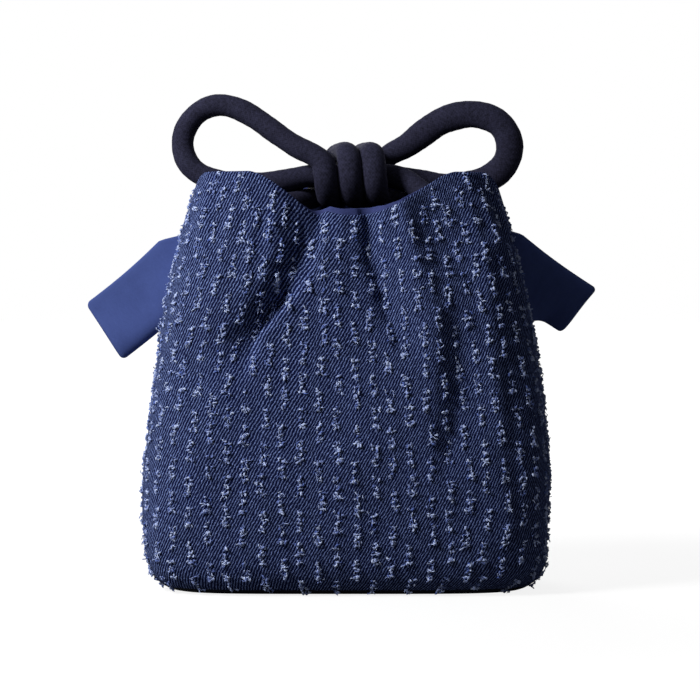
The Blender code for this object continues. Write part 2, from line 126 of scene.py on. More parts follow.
def plan_table():
    """x and y of the plan over the turn, one row for each height."""
    rows = []
    angle = np.linspace(math.pi, 3.0 * math.pi, TABLE_TURNS + 1)
    c, s = np.cos(angle), np.sin(angle)
    for z in np.linspace(0.0, TABLE_TOP, TABLE_ROWS):
        power = plan_power(z)
        wide, deep = half_plan(z)
        x = wide * np.sign(c) * np.abs(c) ** (2.0 / power)
        y = deep * np.sign(s) * np.abs(s) ** (2.0 / power)
        run = np.concatenate([[0.0], np.cumsum(np.hypot(np.diff(x), np.diff(y)))])
        even = np.linspace(0.0, run[-1], TABLE_TURNS + 1)
        rows.append((np.interp(even, run, x), np.interp(even, run, y)))
    return np.array(rows)


PLAN = plan_table()


def plan(turn, z):
    """x and y of the plan at each turn and height."""
    row = np.clip(z / TABLE_TOP, 0.0, 0.9999) * (TABLE_ROWS - 1)
    col = (turn % 1.0) * TABLE_TURNS
    r, c = row.astype(int), np.minimum(col.astype(int), TABLE_TURNS - 1)
    fr, fc = row - r, col - c
    low = PLAN[r, :, c] * (1 - fc)[:, None] + PLAN[r, :, c + 1] * fc[:, None]
    high = PLAN[r + 1, :, c] * (1 - fc)[:, None] + PLAN[r + 1, :, c + 1] * fc[:, None]
    return low * (1 - fr)[:, None] + high * fr[:, None]


def perimeter(z, count=361):
    around = plan(np.linspace(0.0, 1.0, count), np.full(count, z))
    return np.linalg.norm(np.diff(around, axis=0), axis=1).sum()


def centre_dip(turn):
    """1 where the rim dips deepest, near the middle of the front and the back."""
    out = np.abs(((turn - DIP_MIDDLE) % 0.5) - 0.25) / 0.25
    wave = 0.5 + 0.5 * np.cos(math.pi * np.minimum(out / DIP_REACH, 1.0))
    return wave**DIP_POWER


def rim_height(turn):
    out = np.abs((turn % 0.5) - 0.25) / 0.25
    deep = np.where(turn % 1.0 < 0.5, FRONT_DIP, BACK_DIP)
    lap = (turn % 1.0 - LAP_TURN) / np.where(turn % 1.0 < LAP_TURN, LAP_LEFT, LAP_RIGHT)
    notch = LAP_NOTCH * np.exp(-(lap**2))
    seam = SEAM_DIP * smoothstep((out - (1.0 - SEAM_REACH)) / SEAM_REACH)
    return RIM_HEIGHT - deep * centre_dip(turn) - seam - notch


print("plan table:", PLAN.shape, "rim from", rim_height(np.array([0.258])), "to", RIM_HEIGHT)

# %% [markdown]
# Folds
# Drawing the cord in pushes the denim into folds that start at the rim and die out down the
# front. Cloth simulation could make them, but it would not land them where the photograph shows
# them, so each one is drawn: a line down the face, how deep or proud it is, and how
# wide on its left and right side. A fold with one steep side reads as cloth that laps over. The
# valleys are those of the CAD solid, which the channels follow. On the front of the finished
# cloth the creases take their place, and on the back the creases and the solid's pleats are
# added to them.

# %% Valleys, pleats and creases
# side, x_low, z_low, x_high, z_high, z_deep, depth, width, in mm
VALLEYS = [
    (-1, -48, 108, -6, 270, 200, 10.5, 14.0),
    (-1, 16, 116, 5, 270, 198, 5.5, 10.5),
    (-1, 49, 12, 44, 178, 84, 5.0, 11.0),
    (1, 48, 104, 8, 270, 200, 9.0, 15.0),
    (1, -22, 112, -12, 270, 198, 5.0, 11.0),
    (1, -42, 12, -46, 172, 84, 4.5, 11.0),
]
# As the valleys, but they stand out of the wall
PLEATS = [
    (1, 40, 98, -17, 236, 165, 3.4, 8.0),
    (1, 62, 112, 16, 240, 170, 2.3, 11.0),
    (1, -38, 100, -24, 240, 165, 2.8, 8.0),
    (1, -63, 90, -53, 246, 165, 2.1, 9.0),
]
# side, points (x, z) from the top down, height (out is positive), left and right width, in mm
CREASES = [
    (-1, [(-78, 212), (-79, 180), (-83, 150), (-87, 118)], 3.2, 9.0, 24.0),
    (-1, [(-35, 210), (-34, 190), (-35, 176), (-42, 158), (-53, 141), (-61, 128), (-70, 104)],
     6.4, 42.0, 11.0),
    (-1, [(-13, 210), (-12.6, 188), (-14.5, 173), (-21.5, 158), (-34.5, 141), (-44, 130),
          (-53, 104)], -4.8, 17.0, 1.8),
    (-1, [(-21.5, 158), (-34.5, 141), (-44, 130), (-53, 100)], -4.6, 12.0, 2.0),
    (-1, [(9, 210), (9.6, 183), (11, 166), (17, 146), (24.5, 126), (29, 108)], -5.6, 3.0, 7.0),
    (-1, [(24, 210), (29, 183), (37, 160), (42, 141), (43, 116), (43, 96), (40, 60)],
     5.4, 14.0, 9.0),
    (-1, [(54, 116), (55, 104), (53, 90), (50, 72), (47, 46)], -3.8, 11.0, 12.0),
    (-1, [(70, 160), (74, 121), (75, 90), (74, 50)], 2.6, 8.0, 8.0),
    (-1, [(-52, 116), (-22, 86), (6, 66)], -1.0, 9.0, 9.0),
    (-1, [(-84, 96), (-58, 62), (-36, 44)], -0.9, 10.0, 10.0),
    (-1, [(0, 120), (2, 84), (-4, 40)], 0.9, 12.0, 12.0),
    (-1, [(80, 120), (84, 76), (86, 30)], -1.2, 5.0, 5.0),
    (1, [(-16, 200), (-18, 168), (-22, 130)], -2.2, 3.4, 3.0),
    (1, [(-44, 150), (-46, 100), (-46, 26)], -2.0, 5.0, 3.5),
    (1, [(50, 118), (20, 88), (-8, 70)], -1.0, 9.0, 9.0),
    (1, [(66, 100), (70, 60), (64, 26)], 1.2, 10.0, 10.0),
]
# A crease grows over the lowest part of its line, and runs on past the rim before it fades
CREASE_FOOT, RUN_ON, RUN_OUT = 0.45, 34.0, 30.0
# A valley pinches to a sharp line, and a ridge stays round
RIDGE_POWER, VALLEY_POWER = 1.7, 1.15
# number round the bag, slant, start and height in mm of each wave of unevenness
WAVES = [(3, 0.031, 0.4, 0.55), (5, -0.043, 1.9, 0.45), (9, 0.071, 2.7, 0.32),
         (14, -0.052, 0.9, 0.26), (23, 0.094, 4.1, 0.17), (37, 0.121, 5.2, 0.10)]
# The channel's two rows of stitches, and how many puckers they make round the bag
UPPER_STITCHES, LOWER_STITCHES, STITCH_REACH, PUCKERS, PUCKER_HEIGHT = 184.0, 157.0, 9.0, 31, 0.55


def broad_folds(x, y, z, folds):
    """How far the CAD solid's valleys or pleats move the wall, in metres."""
    pull = np.zeros_like(x)
    for side, x_low, z_low, x_high, z_high, z_deep, depth, width in folds:
        rise = smoothstep((z / MM - z_low) / (z_deep - z_low))
        fall = 1.0 - smoothstep((z / MM - z_deep) / (z_high - z_deep))
        line = x_low + (x_high - x_low) * (z / MM - z_low) / (z_high - z_low)
        here = (y * side > 0.0) & (z / MM > z_low)
        bell = np.exp(-(((x / MM - line) / width) ** 2))
        pull += here * depth * MM * np.minimum(rise, fall) * bell
    return pull


def fine_creases(x, y, z):
    """Height of the drawn creases, out of the face, in metres."""
    height = np.zeros_like(x)
    for side, points, tall, left, right in CREASES:
        across, heights = np.array(points, float).T
        line = np.interp(z / MM, heights[::-1], across[::-1])
        top, foot = heights[0], heights[-1]
        fade = smoothstep((z / MM - foot) / (CREASE_FOOT * (top - foot)))
        fade = fade * smoothstep((top + RUN_ON - z / MM) / RUN_OUT)
        off = (x / MM - line) * (-side)
        width = np.where(off < 0.0, left, right)
        power = RIDGE_POWER if tall > 0.0 else VALLEY_POWER
        height += (y * side > 0.0) * tall * MM * fade * np.exp(-np.abs(off / width) ** power)
    return height


def unevenness(turn, z):
    """Soft hand-made unevenness of stuffed cloth, in metres."""
    u, v = turn * 2.0 * math.pi, z / MM
    total = sum(a * np.sin(n * u + k * v + p) for n, k, p, a in WAVES)
    return total * MM * smoothstep(v / 30.0)


def gathers(turn, z):
    """Small upright puckers along the channel's two rows of stitches."""
    v = z / MM
    upper, lower = [np.exp(-(((v - row) / STITCH_REACH) ** 2))
                    for row in (UPPER_STITCHES, LOWER_STITCHES)]
    around = turn * 2.0 * math.pi
    wave = np.sin(around * PUCKERS + 1.7 * np.sin(around * 7))
    return PUCKER_HEIGHT * MM * (upper + 0.8 * lower) * wave


print("folds:", len(VALLEYS), "valleys,", len(PLEATS), "pleats,", len(CREASES), "creases")


# %% Points on the cloth
CHANNEL_BAND, BAND_EDGE, BAND_REACH = (144.0, 186.0), 8.0, 56.0 * MM
SPARE_OVER_CHANNEL, SPARE_ELSEWHERE, SOFT_EDGE = 0.9 * MM, 14.0 * MM, 0.7 * MM
FOOT_DRAW, FOOT_HEIGHT = 2.4 * MM, 30.0 * MM
SEAM_GROOVE, SEAM_GROOVE_WIDTH = 0.9 * MM, 1.1 * MM


def skin(turn, rise, fine=1.0):
    """Points of the denim's outer face, one for each turn and rise."""
    lean = np.minimum(rise, 1.0) * math.pi / 2.0
    z = np.where(rise < 1.0, BASE_EDGE * (1.0 - np.cos(lean)),
                 BASE_EDGE + (rise - 1.0) * (rim_height(turn) - BASE_EDGE))
    setback = BASE_EDGE * (1.0 - np.sin(lean))
    half_width, half_depth = half_plan(z)
    xy = plan(turn, z)
    x, y = xy[:, 0] * (1.0 - setback / half_width), xy[:, 1] * (1.0 - setback / half_depth)
    out = np.stack([(xy[:, 0] / half_width) ** 3 / half_width,
                    (xy[:, 1] / half_depth) ** 3 / half_depth], axis=1)
    out /= np.linalg.norm(out, axis=1)[:, None]
    pull = broad_folds(x, y, z, VALLEYS)
    if fine > 0.0:
        face = smoothstep(np.abs(y) / (12.0 * MM)) * smoothstep(rise)
        drawn = -fine * face * fine_creases(x, y, z)
        drawn += (y > 0.0) * (pull - broad_folds(x, y, z, PLEATS))
        # Over the cord channels the cloth goes hardly further in than the solid does
        band_low, band_high = [smoothstep((z / MM - edge) / BAND_EDGE) for edge in CHANNEL_BAND]
        band = band_low * (1.0 - band_high) * (np.abs(x) < BAND_REACH)
        deepest = pull + SPARE_OVER_CHANNEL + SPARE_ELSEWHERE * (1.0 - band)
        pull = -SOFT_EDGE * np.logaddexp(-drawn / SOFT_EDGE, -deepest / SOFT_EDGE)
        # The weight of the bag draws the foot of the wall in a little
        pull += fine * FOOT_DRAW * face * (1.0 - smoothstep(z / FOOT_HEIGHT))
        soft = fine * (unevenness(turn, z) + gathers(turn, z)) * smoothstep(rise)
        seam = np.minimum(turn % 0.5, 0.5 - turn % 0.5) * CLOTH_ROUND
        groove = np.exp(-((seam / SEAM_GROOVE_WIDTH) ** 2)) * (rise > 0.4)
        soft = soft - SEAM_GROOVE * groove
        x, y = x + out[:, 0] * soft, y + out[:, 1] * soft
    return np.stack([x + STUFFED_SIDE * fine, y - np.sign(y) * pull, z], axis=1)


def skin_frame(turn, rise, fine=1.0):
    """Points on the cloth with the directions across, up and out of it."""
    point = skin(turn, rise, fine)
    across = skin(turn + 0.0012, rise, fine) - skin(turn - 0.0012, rise, fine)
    up = skin(turn, rise + 0.006, fine) - skin(turn, np.maximum(rise - 0.006, 0.0), fine)
    out = np.cross(across, up)
    out /= np.linalg.norm(out, axis=1)[:, None]
    up /= np.linalg.norm(up, axis=1)[:, None]
    across /= np.linalg.norm(across, axis=1)[:, None]
    return point, across, up, out


def inset(turn, rise, depth, fine=1.0):
    """Points that lie depth behind the denim's outer face."""
    point, _, _, out = skin_frame(turn, rise, fine)
    return point - out * np.reshape(depth, (-1, 1))


def rise_at(turn, z):
    return 1.0 + (z - BASE_EDGE) / (rim_height(turn) - BASE_EDGE)


sample = skin(np.array([0.0, 0.25, 0.5, 0.75]), np.array([1.3] * 4))
print("cloth at a third of its height, mm:", (sample / MM).round(1).tolist())

# %% [markdown]
# Indigo denim
# Denim is a cotton twill: indigo threads run one way and undyed ones the other, and each row of
# crossings steps sideways, which draws slanting ribs. On heavy denim they are about 1.5 mm apart
# along a thread, and 1.36 mm across the slant. The ribs here are a cosine across the slant,
# broken up along it by noise, so that they read as thread and not as printed stripes. The
# pattern reads the cloth's own map in millimetres, so that the ribs keep their size everywhere.

# %% Denim
RIB_PITCH, THREAD_LENGTH = 1.36, 1.9
RIB_SINE, RIB_COSINE = 0.891, 0.454  # of 63 degrees, the slope of the ribs


def new_material(name):
    made = bpy.data.materials.new(name)
    made.use_nodes = True
    made.node_tree.nodes.clear()
    shader = add_node(made.node_tree, "ShaderNodeBsdfPrincipled")
    add_node(made.node_tree, "ShaderNodeOutputMaterial", None, {"Surface": shader.outputs[0]})
    return made, made.node_tree, shader


def cloth_mm(tree):
    """The cloth's own map, in millimetres."""
    uv = add_node(tree, "ShaderNodeUVMap", {"uv_map": "cloth"})
    scaled = add_node(tree, "ShaderNodeVectorMath", {"operation": "SCALE"},
                      {0: uv.outputs[0], "Scale": 100.0})
    return scaled.outputs[0]


def indigo_denim():
    # Ring-spun cotton twill dyed with indigo: matte, with pale ribs on a near-black ground
    made, tree, shader = new_material("indigo_denim_twill")
    mm = cloth_mm(tree)
    sway = add_node(tree, "ShaderNodeTexNoise", None, {"Vector": mm, "Scale": 0.09, "Detail": 2.0})
    drift = add_node(tree, "ShaderNodeVectorMath", {"operation": "MULTIPLY_ADD"},
                     {0: sway.outputs["Color"], 1: (1.6, 1.6, 0.0), 2: mm})
    wander = add_node(tree, "ShaderNodeTexNoise", None,
                      {"Vector": mm, "Scale": 0.55, "Detail": 2.0})
    drift = add_node(tree, "ShaderNodeVectorMath", {"operation": "MULTIPLY_ADD"},
                     {0: wander.outputs["Color"], 1: (1.1, 1.1, 0.0), 2: drift.outputs[0]})
    slant = add_node(tree, "ShaderNodeVectorMath", {"operation": "DOT_PRODUCT"},
                     {0: drift.outputs[0],
                      1: (RIB_SINE / RIB_PITCH, -RIB_COSINE / RIB_PITCH, 0.0)})
    along = add_node(tree, "ShaderNodeVectorMath", {"operation": "DOT_PRODUCT"},
                     {0: mm, 1: (RIB_COSINE / THREAD_LENGTH, RIB_SINE / THREAD_LENGTH, 0.0)})
    turns = add_node(tree, "ShaderNodeMath", {"operation": "MULTIPLY"},
                     {0: slant.outputs["Value"], 1: 2.0 * math.pi})
    wave = add_node(tree, "ShaderNodeMath", {"operation": "COSINE"}, {0: turns.outputs[0]})
    rib = add_node(tree, "ShaderNodeMapRange", {"interpolation_type": "SMOOTHSTEP"},
                   {"Value": wave.outputs[0], "From Min": -0.15, "From Max": 0.95})
    cell = add_node(tree, "ShaderNodeCombineXYZ", None,
                    {"X": slant.outputs["Value"], "Y": along.outputs["Value"]})
    thread = add_node(tree, "ShaderNodeTexNoise", None,
                      {"Vector": cell.outputs[0], "Scale": 1.0, "Detail": 3.0, "Roughness": 0.7})
    strength = add_node(tree, "ShaderNodeMapRange", None,
                        {"Value": thread.outputs["Fac"], "From Min": 0.34, "From Max": 0.66,
                         "To Min": 0.12, "To Max": 1.15})
    pale = add_node(tree, "ShaderNodeMath", {"operation": "MULTIPLY"},
                    {0: rib.outputs[0], 1: strength.outputs[0]})
    fade = add_node(tree, "ShaderNodeTexNoise", None, {"Vector": mm, "Scale": 0.03, "Detail": 3.0})
    ground = add_node(tree, "ShaderNodeMix", {"data_type": "RGBA"},
                      {"Factor": fade.outputs["Fac"], 6: linear("#080C28"), 7: linear("#101742")})
    colour = add_node(tree, "ShaderNodeMix", {"data_type": "RGBA"},
                      {"Factor": pale.outputs[0], 6: ground.outputs[2], 7: linear("#8094CE")})
    tree.links.new(colour.outputs[2], shader.inputs["Base Color"])
    shader.inputs["Roughness"].default_value = 0.95
    shader.inputs["Specular IOR Level"].default_value = 0.05
    bump = add_node(tree, "ShaderNodeBump", None,
                    {"Height": pale.outputs[0], "Strength": 0.8, "Distance": 0.35 * MM})
    tree.links.new(bump.outputs[0], shader.inputs["Normal"])
    return made


DENIM = indigo_denim()
print("material:", DENIM.name)

# %% [markdown]
# Plain cottons
# The lining, the pull tabs, the base panel and the cord's cover are plain weave: threads cross
# one over one, which gives a fine even grain with a little slub. The threads are about half a
# millimetre apart, too fine for the photograph, so the grain is drawn at 1.1 to 1.5 mm, just
# coarse enough to show. One builder makes them all, with the colours, the sizes of the grain
# and of the mottling, and the share of each as its arguments.


# %% Lining, tab, base and cord cottons
def plain_cotton(name, dark, light, grain_mm, grain_mix, mottle_mm, bump_mm):
    made, tree, shader = new_material(name)
    mm = cloth_mm(tree)
    turned = add_node(tree, "ShaderNodeVectorMath", {"operation": "SCALE"},
                      {0: mm, "Scale": 2.0 * math.pi / grain_mm})
    parts = add_node(tree, "ShaderNodeSeparateXYZ", None, {0: turned.outputs[0]})
    warp = add_node(tree, "ShaderNodeMath", {"operation": "SINE"}, {0: parts.outputs[0]})
    weft = add_node(tree, "ShaderNodeMath", {"operation": "SINE"}, {0: parts.outputs[1]})
    cross = add_node(tree, "ShaderNodeMath", {"operation": "MULTIPLY"},
                     {0: warp.outputs[0], 1: weft.outputs[0]})
    slub = add_node(tree, "ShaderNodeTexNoise", None,
                    {"Vector": mm, "Scale": 1.0 / grain_mm, "Detail": 3.0, "Roughness": 0.65})
    cloud = add_node(tree, "ShaderNodeTexNoise", None,
                     {"Vector": mm, "Scale": 1.0 / mottle_mm, "Detail": 4.0, "Roughness": 0.6})
    weave = add_node(tree, "ShaderNodeMath", {"operation": "MULTIPLY_ADD"},
                     {0: cross.outputs[0], 1: 0.08, 2: slub.outputs["Fac"]})
    blend = add_node(tree, "ShaderNodeMix", {"data_type": "FLOAT"},
                     {"Factor": grain_mix, 2: cloud.outputs["Fac"], 3: weave.outputs[0]})
    tone = add_node(tree, "ShaderNodeMapRange", None,
                    {"Value": blend.outputs[0], "From Min": 0.3, "From Max": 0.7})
    colour = add_node(tree, "ShaderNodeMix", {"data_type": "RGBA"},
                      {"Factor": tone.outputs[0], 6: linear(dark), 7: linear(light)})
    tree.links.new(colour.outputs[2], shader.inputs["Base Color"])
    shader.inputs["Roughness"].default_value = 0.85
    shader.inputs["Specular IOR Level"].default_value = 0.08
    bump = add_node(tree, "ShaderNodeBump", None,
                    {"Height": weave.outputs[0], "Strength": 0.7, "Distance": bump_mm * MM})
    tree.links.new(bump.outputs[0], shader.inputs["Normal"])
    return made


# Blue cotton poplin of the facing round the mouth: smooth, a little lighter than the denim
FACING_COTTON = plain_cotton("blue_cotton_poplin", "#2E3560", "#444D80", 1.1, 0.5, 30.0, 0.10)
# The same cloth made dark navy for the lining below the facing and for the channels: painted shade
# of the bag's inside
LINING_SHADE_COTTON = plain_cotton("navy_poplin_painted_shade", "#15182E", "#202544", 1.1, 0.5, 30.0, 0.10)
# Sanded blue cotton over a thin pad: very even, so the mottling is faint and wide
TAB_COTTON = plain_cotton("sanded_blue_cotton", "#3C4A80", "#4A5A96", 1.1, 0.25, 22.0, 0.05)
# Near-black cotton canvas of the base panel and the foot of the base edge: its black is painted
# shade where the cloth turns under the bag
BASE_SHADE_CANVAS = plain_cotton("base_canvas_painted_shade", "#121318", "#23242C", 1.3, 0.6, 18.0, 0.18)
# Dark navy cotton canvas round a soft core: the coarsest grain, worn lighter in places
CORD_CANVAS = plain_cotton("navy_canvas_cord_cover", "#14141F", "#333349", 1.5, 0.75, 9.0, 0.30)
COTTONS = (FACING_COTTON, LINING_SHADE_COTTON, TAB_COTTON, BASE_SHADE_CANVAS, CORD_CANVAS)
print("cottons:", [finish.name for finish in COTTONS])

# %% [markdown]
# The denim shell
# On the real bag the front, back and sides are one gathered cloth sewn to a base panel. It is
# lofted here as one closed skin: from the middle of the base, out and up the wall, over the
# folded edge of the rim, and down the inside again. A closed skin has a real edge at the rim,
# which a flat sheet with no thickness would lack, and it can be printed or baked as it is.


# %% Loft helper and the shell
# The near-black canvas, painted shade, reaches this far up the rounded base edge
SHADED_FOOT_RISE = 0.34
MAP_FOOT, MAP_WALL, MAP_EDGE = 24.0, 190.0, 1.5


def loft(name, rings, v_mm, u_mm, materials, faces_of=None):
    """A closed skin through rings of points, with its map in hundreds of millimetres."""
    count = len(rings[0])
    r, c = np.meshgrid(np.arange(len(rings) - 1), np.arange(count), indexing="ij")
    r, c = r.ravel(), c.ravel()
    d = (c + 1) % count
    quads = np.stack([r * count + c, r * count + d, (r + 1) * count + d, (r + 1) * count + c], 1)
    v = np.asarray(v_mm) / 100.0
    starts, ends = u_mm if isinstance(u_mm, tuple) else (u_mm[:-1], u_mm[1:])
    shape = (len(rings), count)
    starts, ends = (np.broadcast_to(np.asarray(e) / 100.0, shape) for e in (starts, ends))
    uv = np.stack([np.stack([starts[r, c], v[r]], 1), np.stack([ends[r, c], v[r]], 1),
                   np.stack([ends[r + 1, c], v[r + 1]], 1),
                   np.stack([starts[r + 1, c], v[r + 1]], 1)], 1)
    faces, maps = quads.tolist(), uv.reshape(-1, 2).tolist()
    slots = [faces_of[i] if faces_of else 0 for i in r.tolist()]
    hubs = []
    for end, index in ((0, 0), (1, len(rings) - 1)):
        hub, ring = len(rings) * count + len(hubs), rings[index]
        hubs.append(ring.mean(axis=0))
        flat = (ring - hubs[-1]) / (100.0 * MM)
        axes = np.argsort(-np.ptp(flat, axis=0))[:2]
        for i in range(count):
            j = (i + 1) % count
            a, b = (j, i) if end == 0 else (i, j)
            faces.append([hub, index * count + a, index * count + b])
            maps += [[0.0, 0.0], flat[a][axes].tolist(), flat[b][axes].tolist()]
            slots.append(faces_of[index - end] if faces_of else 0)
    mesh = bpy.data.meshes.new(name)
    mesh.from_pydata(np.concatenate([*rings, hubs]).tolist(), [], faces)
    layer = mesh.uv_layers.new(name="cloth")
    layer.data.foreach_set("uv", np.array(maps, np.float32).ravel())
    mesh.polygons.foreach_set("material_index", slots)
    for finish in materials:
        mesh.materials.append(finish)
    mesh.shade_smooth()
    made = bpy.data.objects.new(name, mesh)
    bpy.context.scene.collection.objects.link(made)
    return made


def face_outwards(made):
    """Turns the faces of a closed piece so that they all point out of it."""
    bm = bmesh.new()
    bm.from_mesh(made.data)
    bmesh.ops.recalc_face_normals(bm, faces=bm.faces)
    bm.to_mesh(made.data)
    bm.free()


def bag_layer(name, columns, face, back, rows, proud, materials, panel, facing=0.0):
    """A layer of the bag between two depths behind the denim's face, rolled at the rim.

    The second material, which is painted shade, takes the base panel, and inside all that is below
    the facing.
    """
    turn = np.arange(columns) / columns
    top = rise_at(turn, rim_height(turn) + proud * centre_dip(turn) ** 2)
    thick, rings, v, slots = back - face, [], [], []
    edge_rows, wall_rows, inner_rows = rows

    def ring(rise, depth, height, slot=0):
        spots = inset(turn, rise, depth)
        spots[:, 2] = np.maximum(spots[:, 2], depth)
        rings.append(spots)
        v.append(height / MM)
        slots.append(slot)

    for rise in np.linspace(0.0, 1.0, edge_rows, endpoint=False):
        # Rows at the foot of the base edge take the near-black canvas, painted shade
        in_shaded_foot = 1 if panel and rise < SHADED_FOOT_RISE else 0
        ring(np.full(columns, rise), face, rise * BASE_EDGE * MAP_EDGE, in_shaded_foot)
    for share in np.linspace(0.0, 1.0, wall_rows + 1):
        ring(1.0 + (top - 1.0) * share, face, (MAP_FOOT + MAP_WALL * share) * MM)
    _, _, up, out = skin_frame(turn, top)
    crown = skin(turn, top)
    for angle in np.radians([35.0, 65.0, 90.0, 115.0, 145.0]):
        depth = face + thick * (1.0 - math.cos(angle)) / 2.0
        rings.append(crown - out * depth + up * (thick / 2.0) * math.sin(angle))
        v.append(MAP_FOOT + MAP_WALL + angle)
        slots.append(0)
    for share in np.linspace(1.0, 0.0, inner_rows + 1):
        below = 1 if share < facing else 0
        ring(1.0 + (top - 1.0) * share, back, (MAP_FOOT + MAP_WALL * share) * MM, below)
    for rise in np.linspace(1.0, 0.0, edge_rows)[1:]:
        ring(np.full(columns, rise), back, rise * BASE_EDGE * MAP_EDGE, 1 if facing else 0)
    # The map keeps true millimetres at every height, from the middle of the front and the back
    column = np.arange(columns)
    middle = np.where(column < columns // 2, 0.25, 0.75)
    heights = np.array([spots[:, 2].mean() for spots in rings])
    length = np.array([perimeter(z) for z in heights])[:, None] / MM
    spans = ((column / columns - middle) * length, ((column + 1) / columns - middle) * length)
    return loft(name, rings, v, spans, materials, slots)


shell = bag_layer("denim_shell", 400, 0.0, CLOTH, (10, 124, 14), 0.0,
                  [DENIM, BASE_SHADE_CANVAS], True)
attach(shell, "root")
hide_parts("outer_bag")
print("shell faces:", len(shell.data.polygons))

# %% [markdown]
# Lining and channels
# The lining is a second, plain bag inside the first. Its folded edge stands a little proud of
# the denim at the front, where the photograph shows a smooth strip. The two channels are strips
# sewn inside the mouth: their flanges lie on the lining and their middle bulges round the cord.

# %% Lining
# Below the facing the lining takes the darker copy of its cloth, painted shade of the bag's inside
lining = bag_layer("lining_bag", 280, CLOTH + LAYER_GAP, LINING_FACE, (6, 40, 60), 4.0 * MM,
                   [FACING_COTTON, LINING_SHADE_COTTON], False, facing=0.93)
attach(lining, "root")
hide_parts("lining")
print("lining faces:", len(lining.data.polygons))

# %% Cord channels
CORD = 11.0 * MM
TUNNEL = CORD / 2.0 + 1.2 * MM
CHANNEL_HEIGHT = RIM_HEIGHT - 39.5 * MM
RUN_INSET = LINING_FACE + TUNNEL
CHANNEL_REACH = 46.0
FLANGE, FLANGE_THICK, TUNNEL_WALL = 7.0 * MM, 1.1 * MM, 1.0 * MM
FRONT_SIDE, BACK_SIDE = -1, 1


def run_turns(side, count):
    """Turns along the front or back wall over a channel's length, left to right."""
    reach = CHANNEL_REACH * MM / perimeter(CHANNEL_HEIGHT, 721)
    turns = (0.25 if side == FRONT_SIDE else 0.75) + np.linspace(-reach, reach, count)
    return turns if side == FRONT_SIDE else turns[::-1]


def channel_section():
    """Height above the channel's middle and depth behind the denim's face, all the way round."""
    face, tip = LINING_FACE + 0.5 * MM, TUNNEL + FLANGE
    back, foot = face + FLANGE_THICK, TUNNEL + 2.2 * MM
    arc = np.linspace(0.0, math.pi, 17)

    def bulge(radius, way):
        return [(way * radius * math.cos(a), RUN_INSET + 1.2 * MM * math.sin(a)
                 + radius * math.sin(a)) for a in arc]

    inner = [(tip, face + 0.1 * MM), (TUNNEL + 2 * MM, face), *bulge(TUNNEL, 1.0),
             (-TUNNEL - 2 * MM, face), (-tip, face + 0.1 * MM)]
    outer = [(-tip - 0.3 * MM, face + 0.6 * MM), (-tip, back), (-foot, back),
             *bulge(TUNNEL + TUNNEL_WALL, -1.0), (foot, back), (tip, back),
             (tip + 0.3 * MM, face + 0.6 * MM)]
    return inner + outer


def make_channel(name, side, node):
    section = channel_section()
    turns = run_turns(side, 61)
    rings = []
    for turn in turns:
        spot = np.full(len(section), turn)
        heights = np.array([CHANNEL_HEIGHT + up for up, _ in section])
        depths = np.array([depth for _, depth in section])
        rings.append(inset(spot, rise_at(spot, heights), depths, fine=0.0))
    run = np.linspace(0.0, 2.0 * CHANNEL_REACH, len(turns))
    width = np.concatenate([[0.0], np.cumsum([math.dist(a, b) for a, b in
                                              zip(section, section[1:] + section[:1])])])
    # The channels take the darker copy of the lining cloth, painted shade of the bag's inside
    made = loft(name, rings, run, width / MM, [LINING_SHADE_COTTON])
    face_outwards(made)
    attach(made, "root")
    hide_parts(node)
    return made


channels = [make_channel("cord_channel_front", FRONT_SIDE, "channel_front"),
            make_channel("cord_channel_back", BACK_SIDE, "channel_back")]
print("channels:", [(c.name, len(c.data.polygons)) for c in channels])

# %% [markdown]
# The cord
# One endless cord runs through both channels and comes out at their ends. The two bights that
# stand outside are tied in a bow: each winds more than a full turn round the other's loop and
# leaves on the far side, and its loop comes back through the middle of the knot. The turns of
# the knot follow a rule, two straight strands with two helices round them. The loops and tails
# are points chosen from the photograph and joined by one smooth curve.

# %% Route of the cord, as in the part's source
KNOT_HEIGHT, KNOT_GAP, KNOT_SLACK, KNOT_SHIFT = 209.5 * MM, 0.9 * MM, 1.04, 2.5 * MM
KNOT_START_TURN, KNOT_END_TURN, KNOT_UPRIGHTNESS = -0.75, 0.56, 0.7
RIGHT_LOOP = [
    (20.6, 14.6, 221.0), (29.0, 12.4, 225.0), (38.8, 9.8, 231.6), (50.6, 6.6, 238.2),
    (64.9, 3.6, 241.0), (77.4, 1.2, 237.2), (83.2, 0.2, 229.2), (83.9, 1.0, 220.8),
    (80.2, 2.6, 213.2), (73.0, 4.2, 208.0), (62.5, 5.4, 205.0), (49.0, 6.0, 203.9),
    (36.0, 6.0, 206.0),
]
LEFT_LOOP = [
    (-18.6, -14.8, 219.4), (-27.0, -12.4, 223.4), (-36.0, -9.2, 230.0), (-46.0, -5.6, 238.2),
    (-54.5, -2.8, 243.2), (-63.8, -0.6, 245.4), (-72.4, 1.0, 243.2), (-79.0, 1.4, 237.4),
    (-82.7, 0.6, 229.4), (-82.2, -1.2, 220.4), (-78.0, -3.4, 213.2), (-70.3, -4.8, 208.3),
    (-58.0, -5.8, 205.4), (-45.5, -6.0, 205.0), (-33.0, -6.0, 206.6),
]
LOW_TAIL = [
    (-28.6, -8.6, 195.4), (-37.8, -13.8, 194.2), (-46.8, -17.2, 193.4), (-54.8, -18.7, 190.4),
    (-60.4, -19.8, 184.4), (-61.0, -21.8, 176.6), (-57.0, -24.7, 170.8),
]
CORE_TAIL = [
    (-27.6, 8.0, 207.6), (-37.0, 12.0, 200.8), (-47.0, 16.4, 195.2), (-55.0, 18.4, 190.8),
    (-60.4, 19.8, 184.4), (-61.0, 21.8, 176.6), (-57.0, 24.8, 170.7),
]


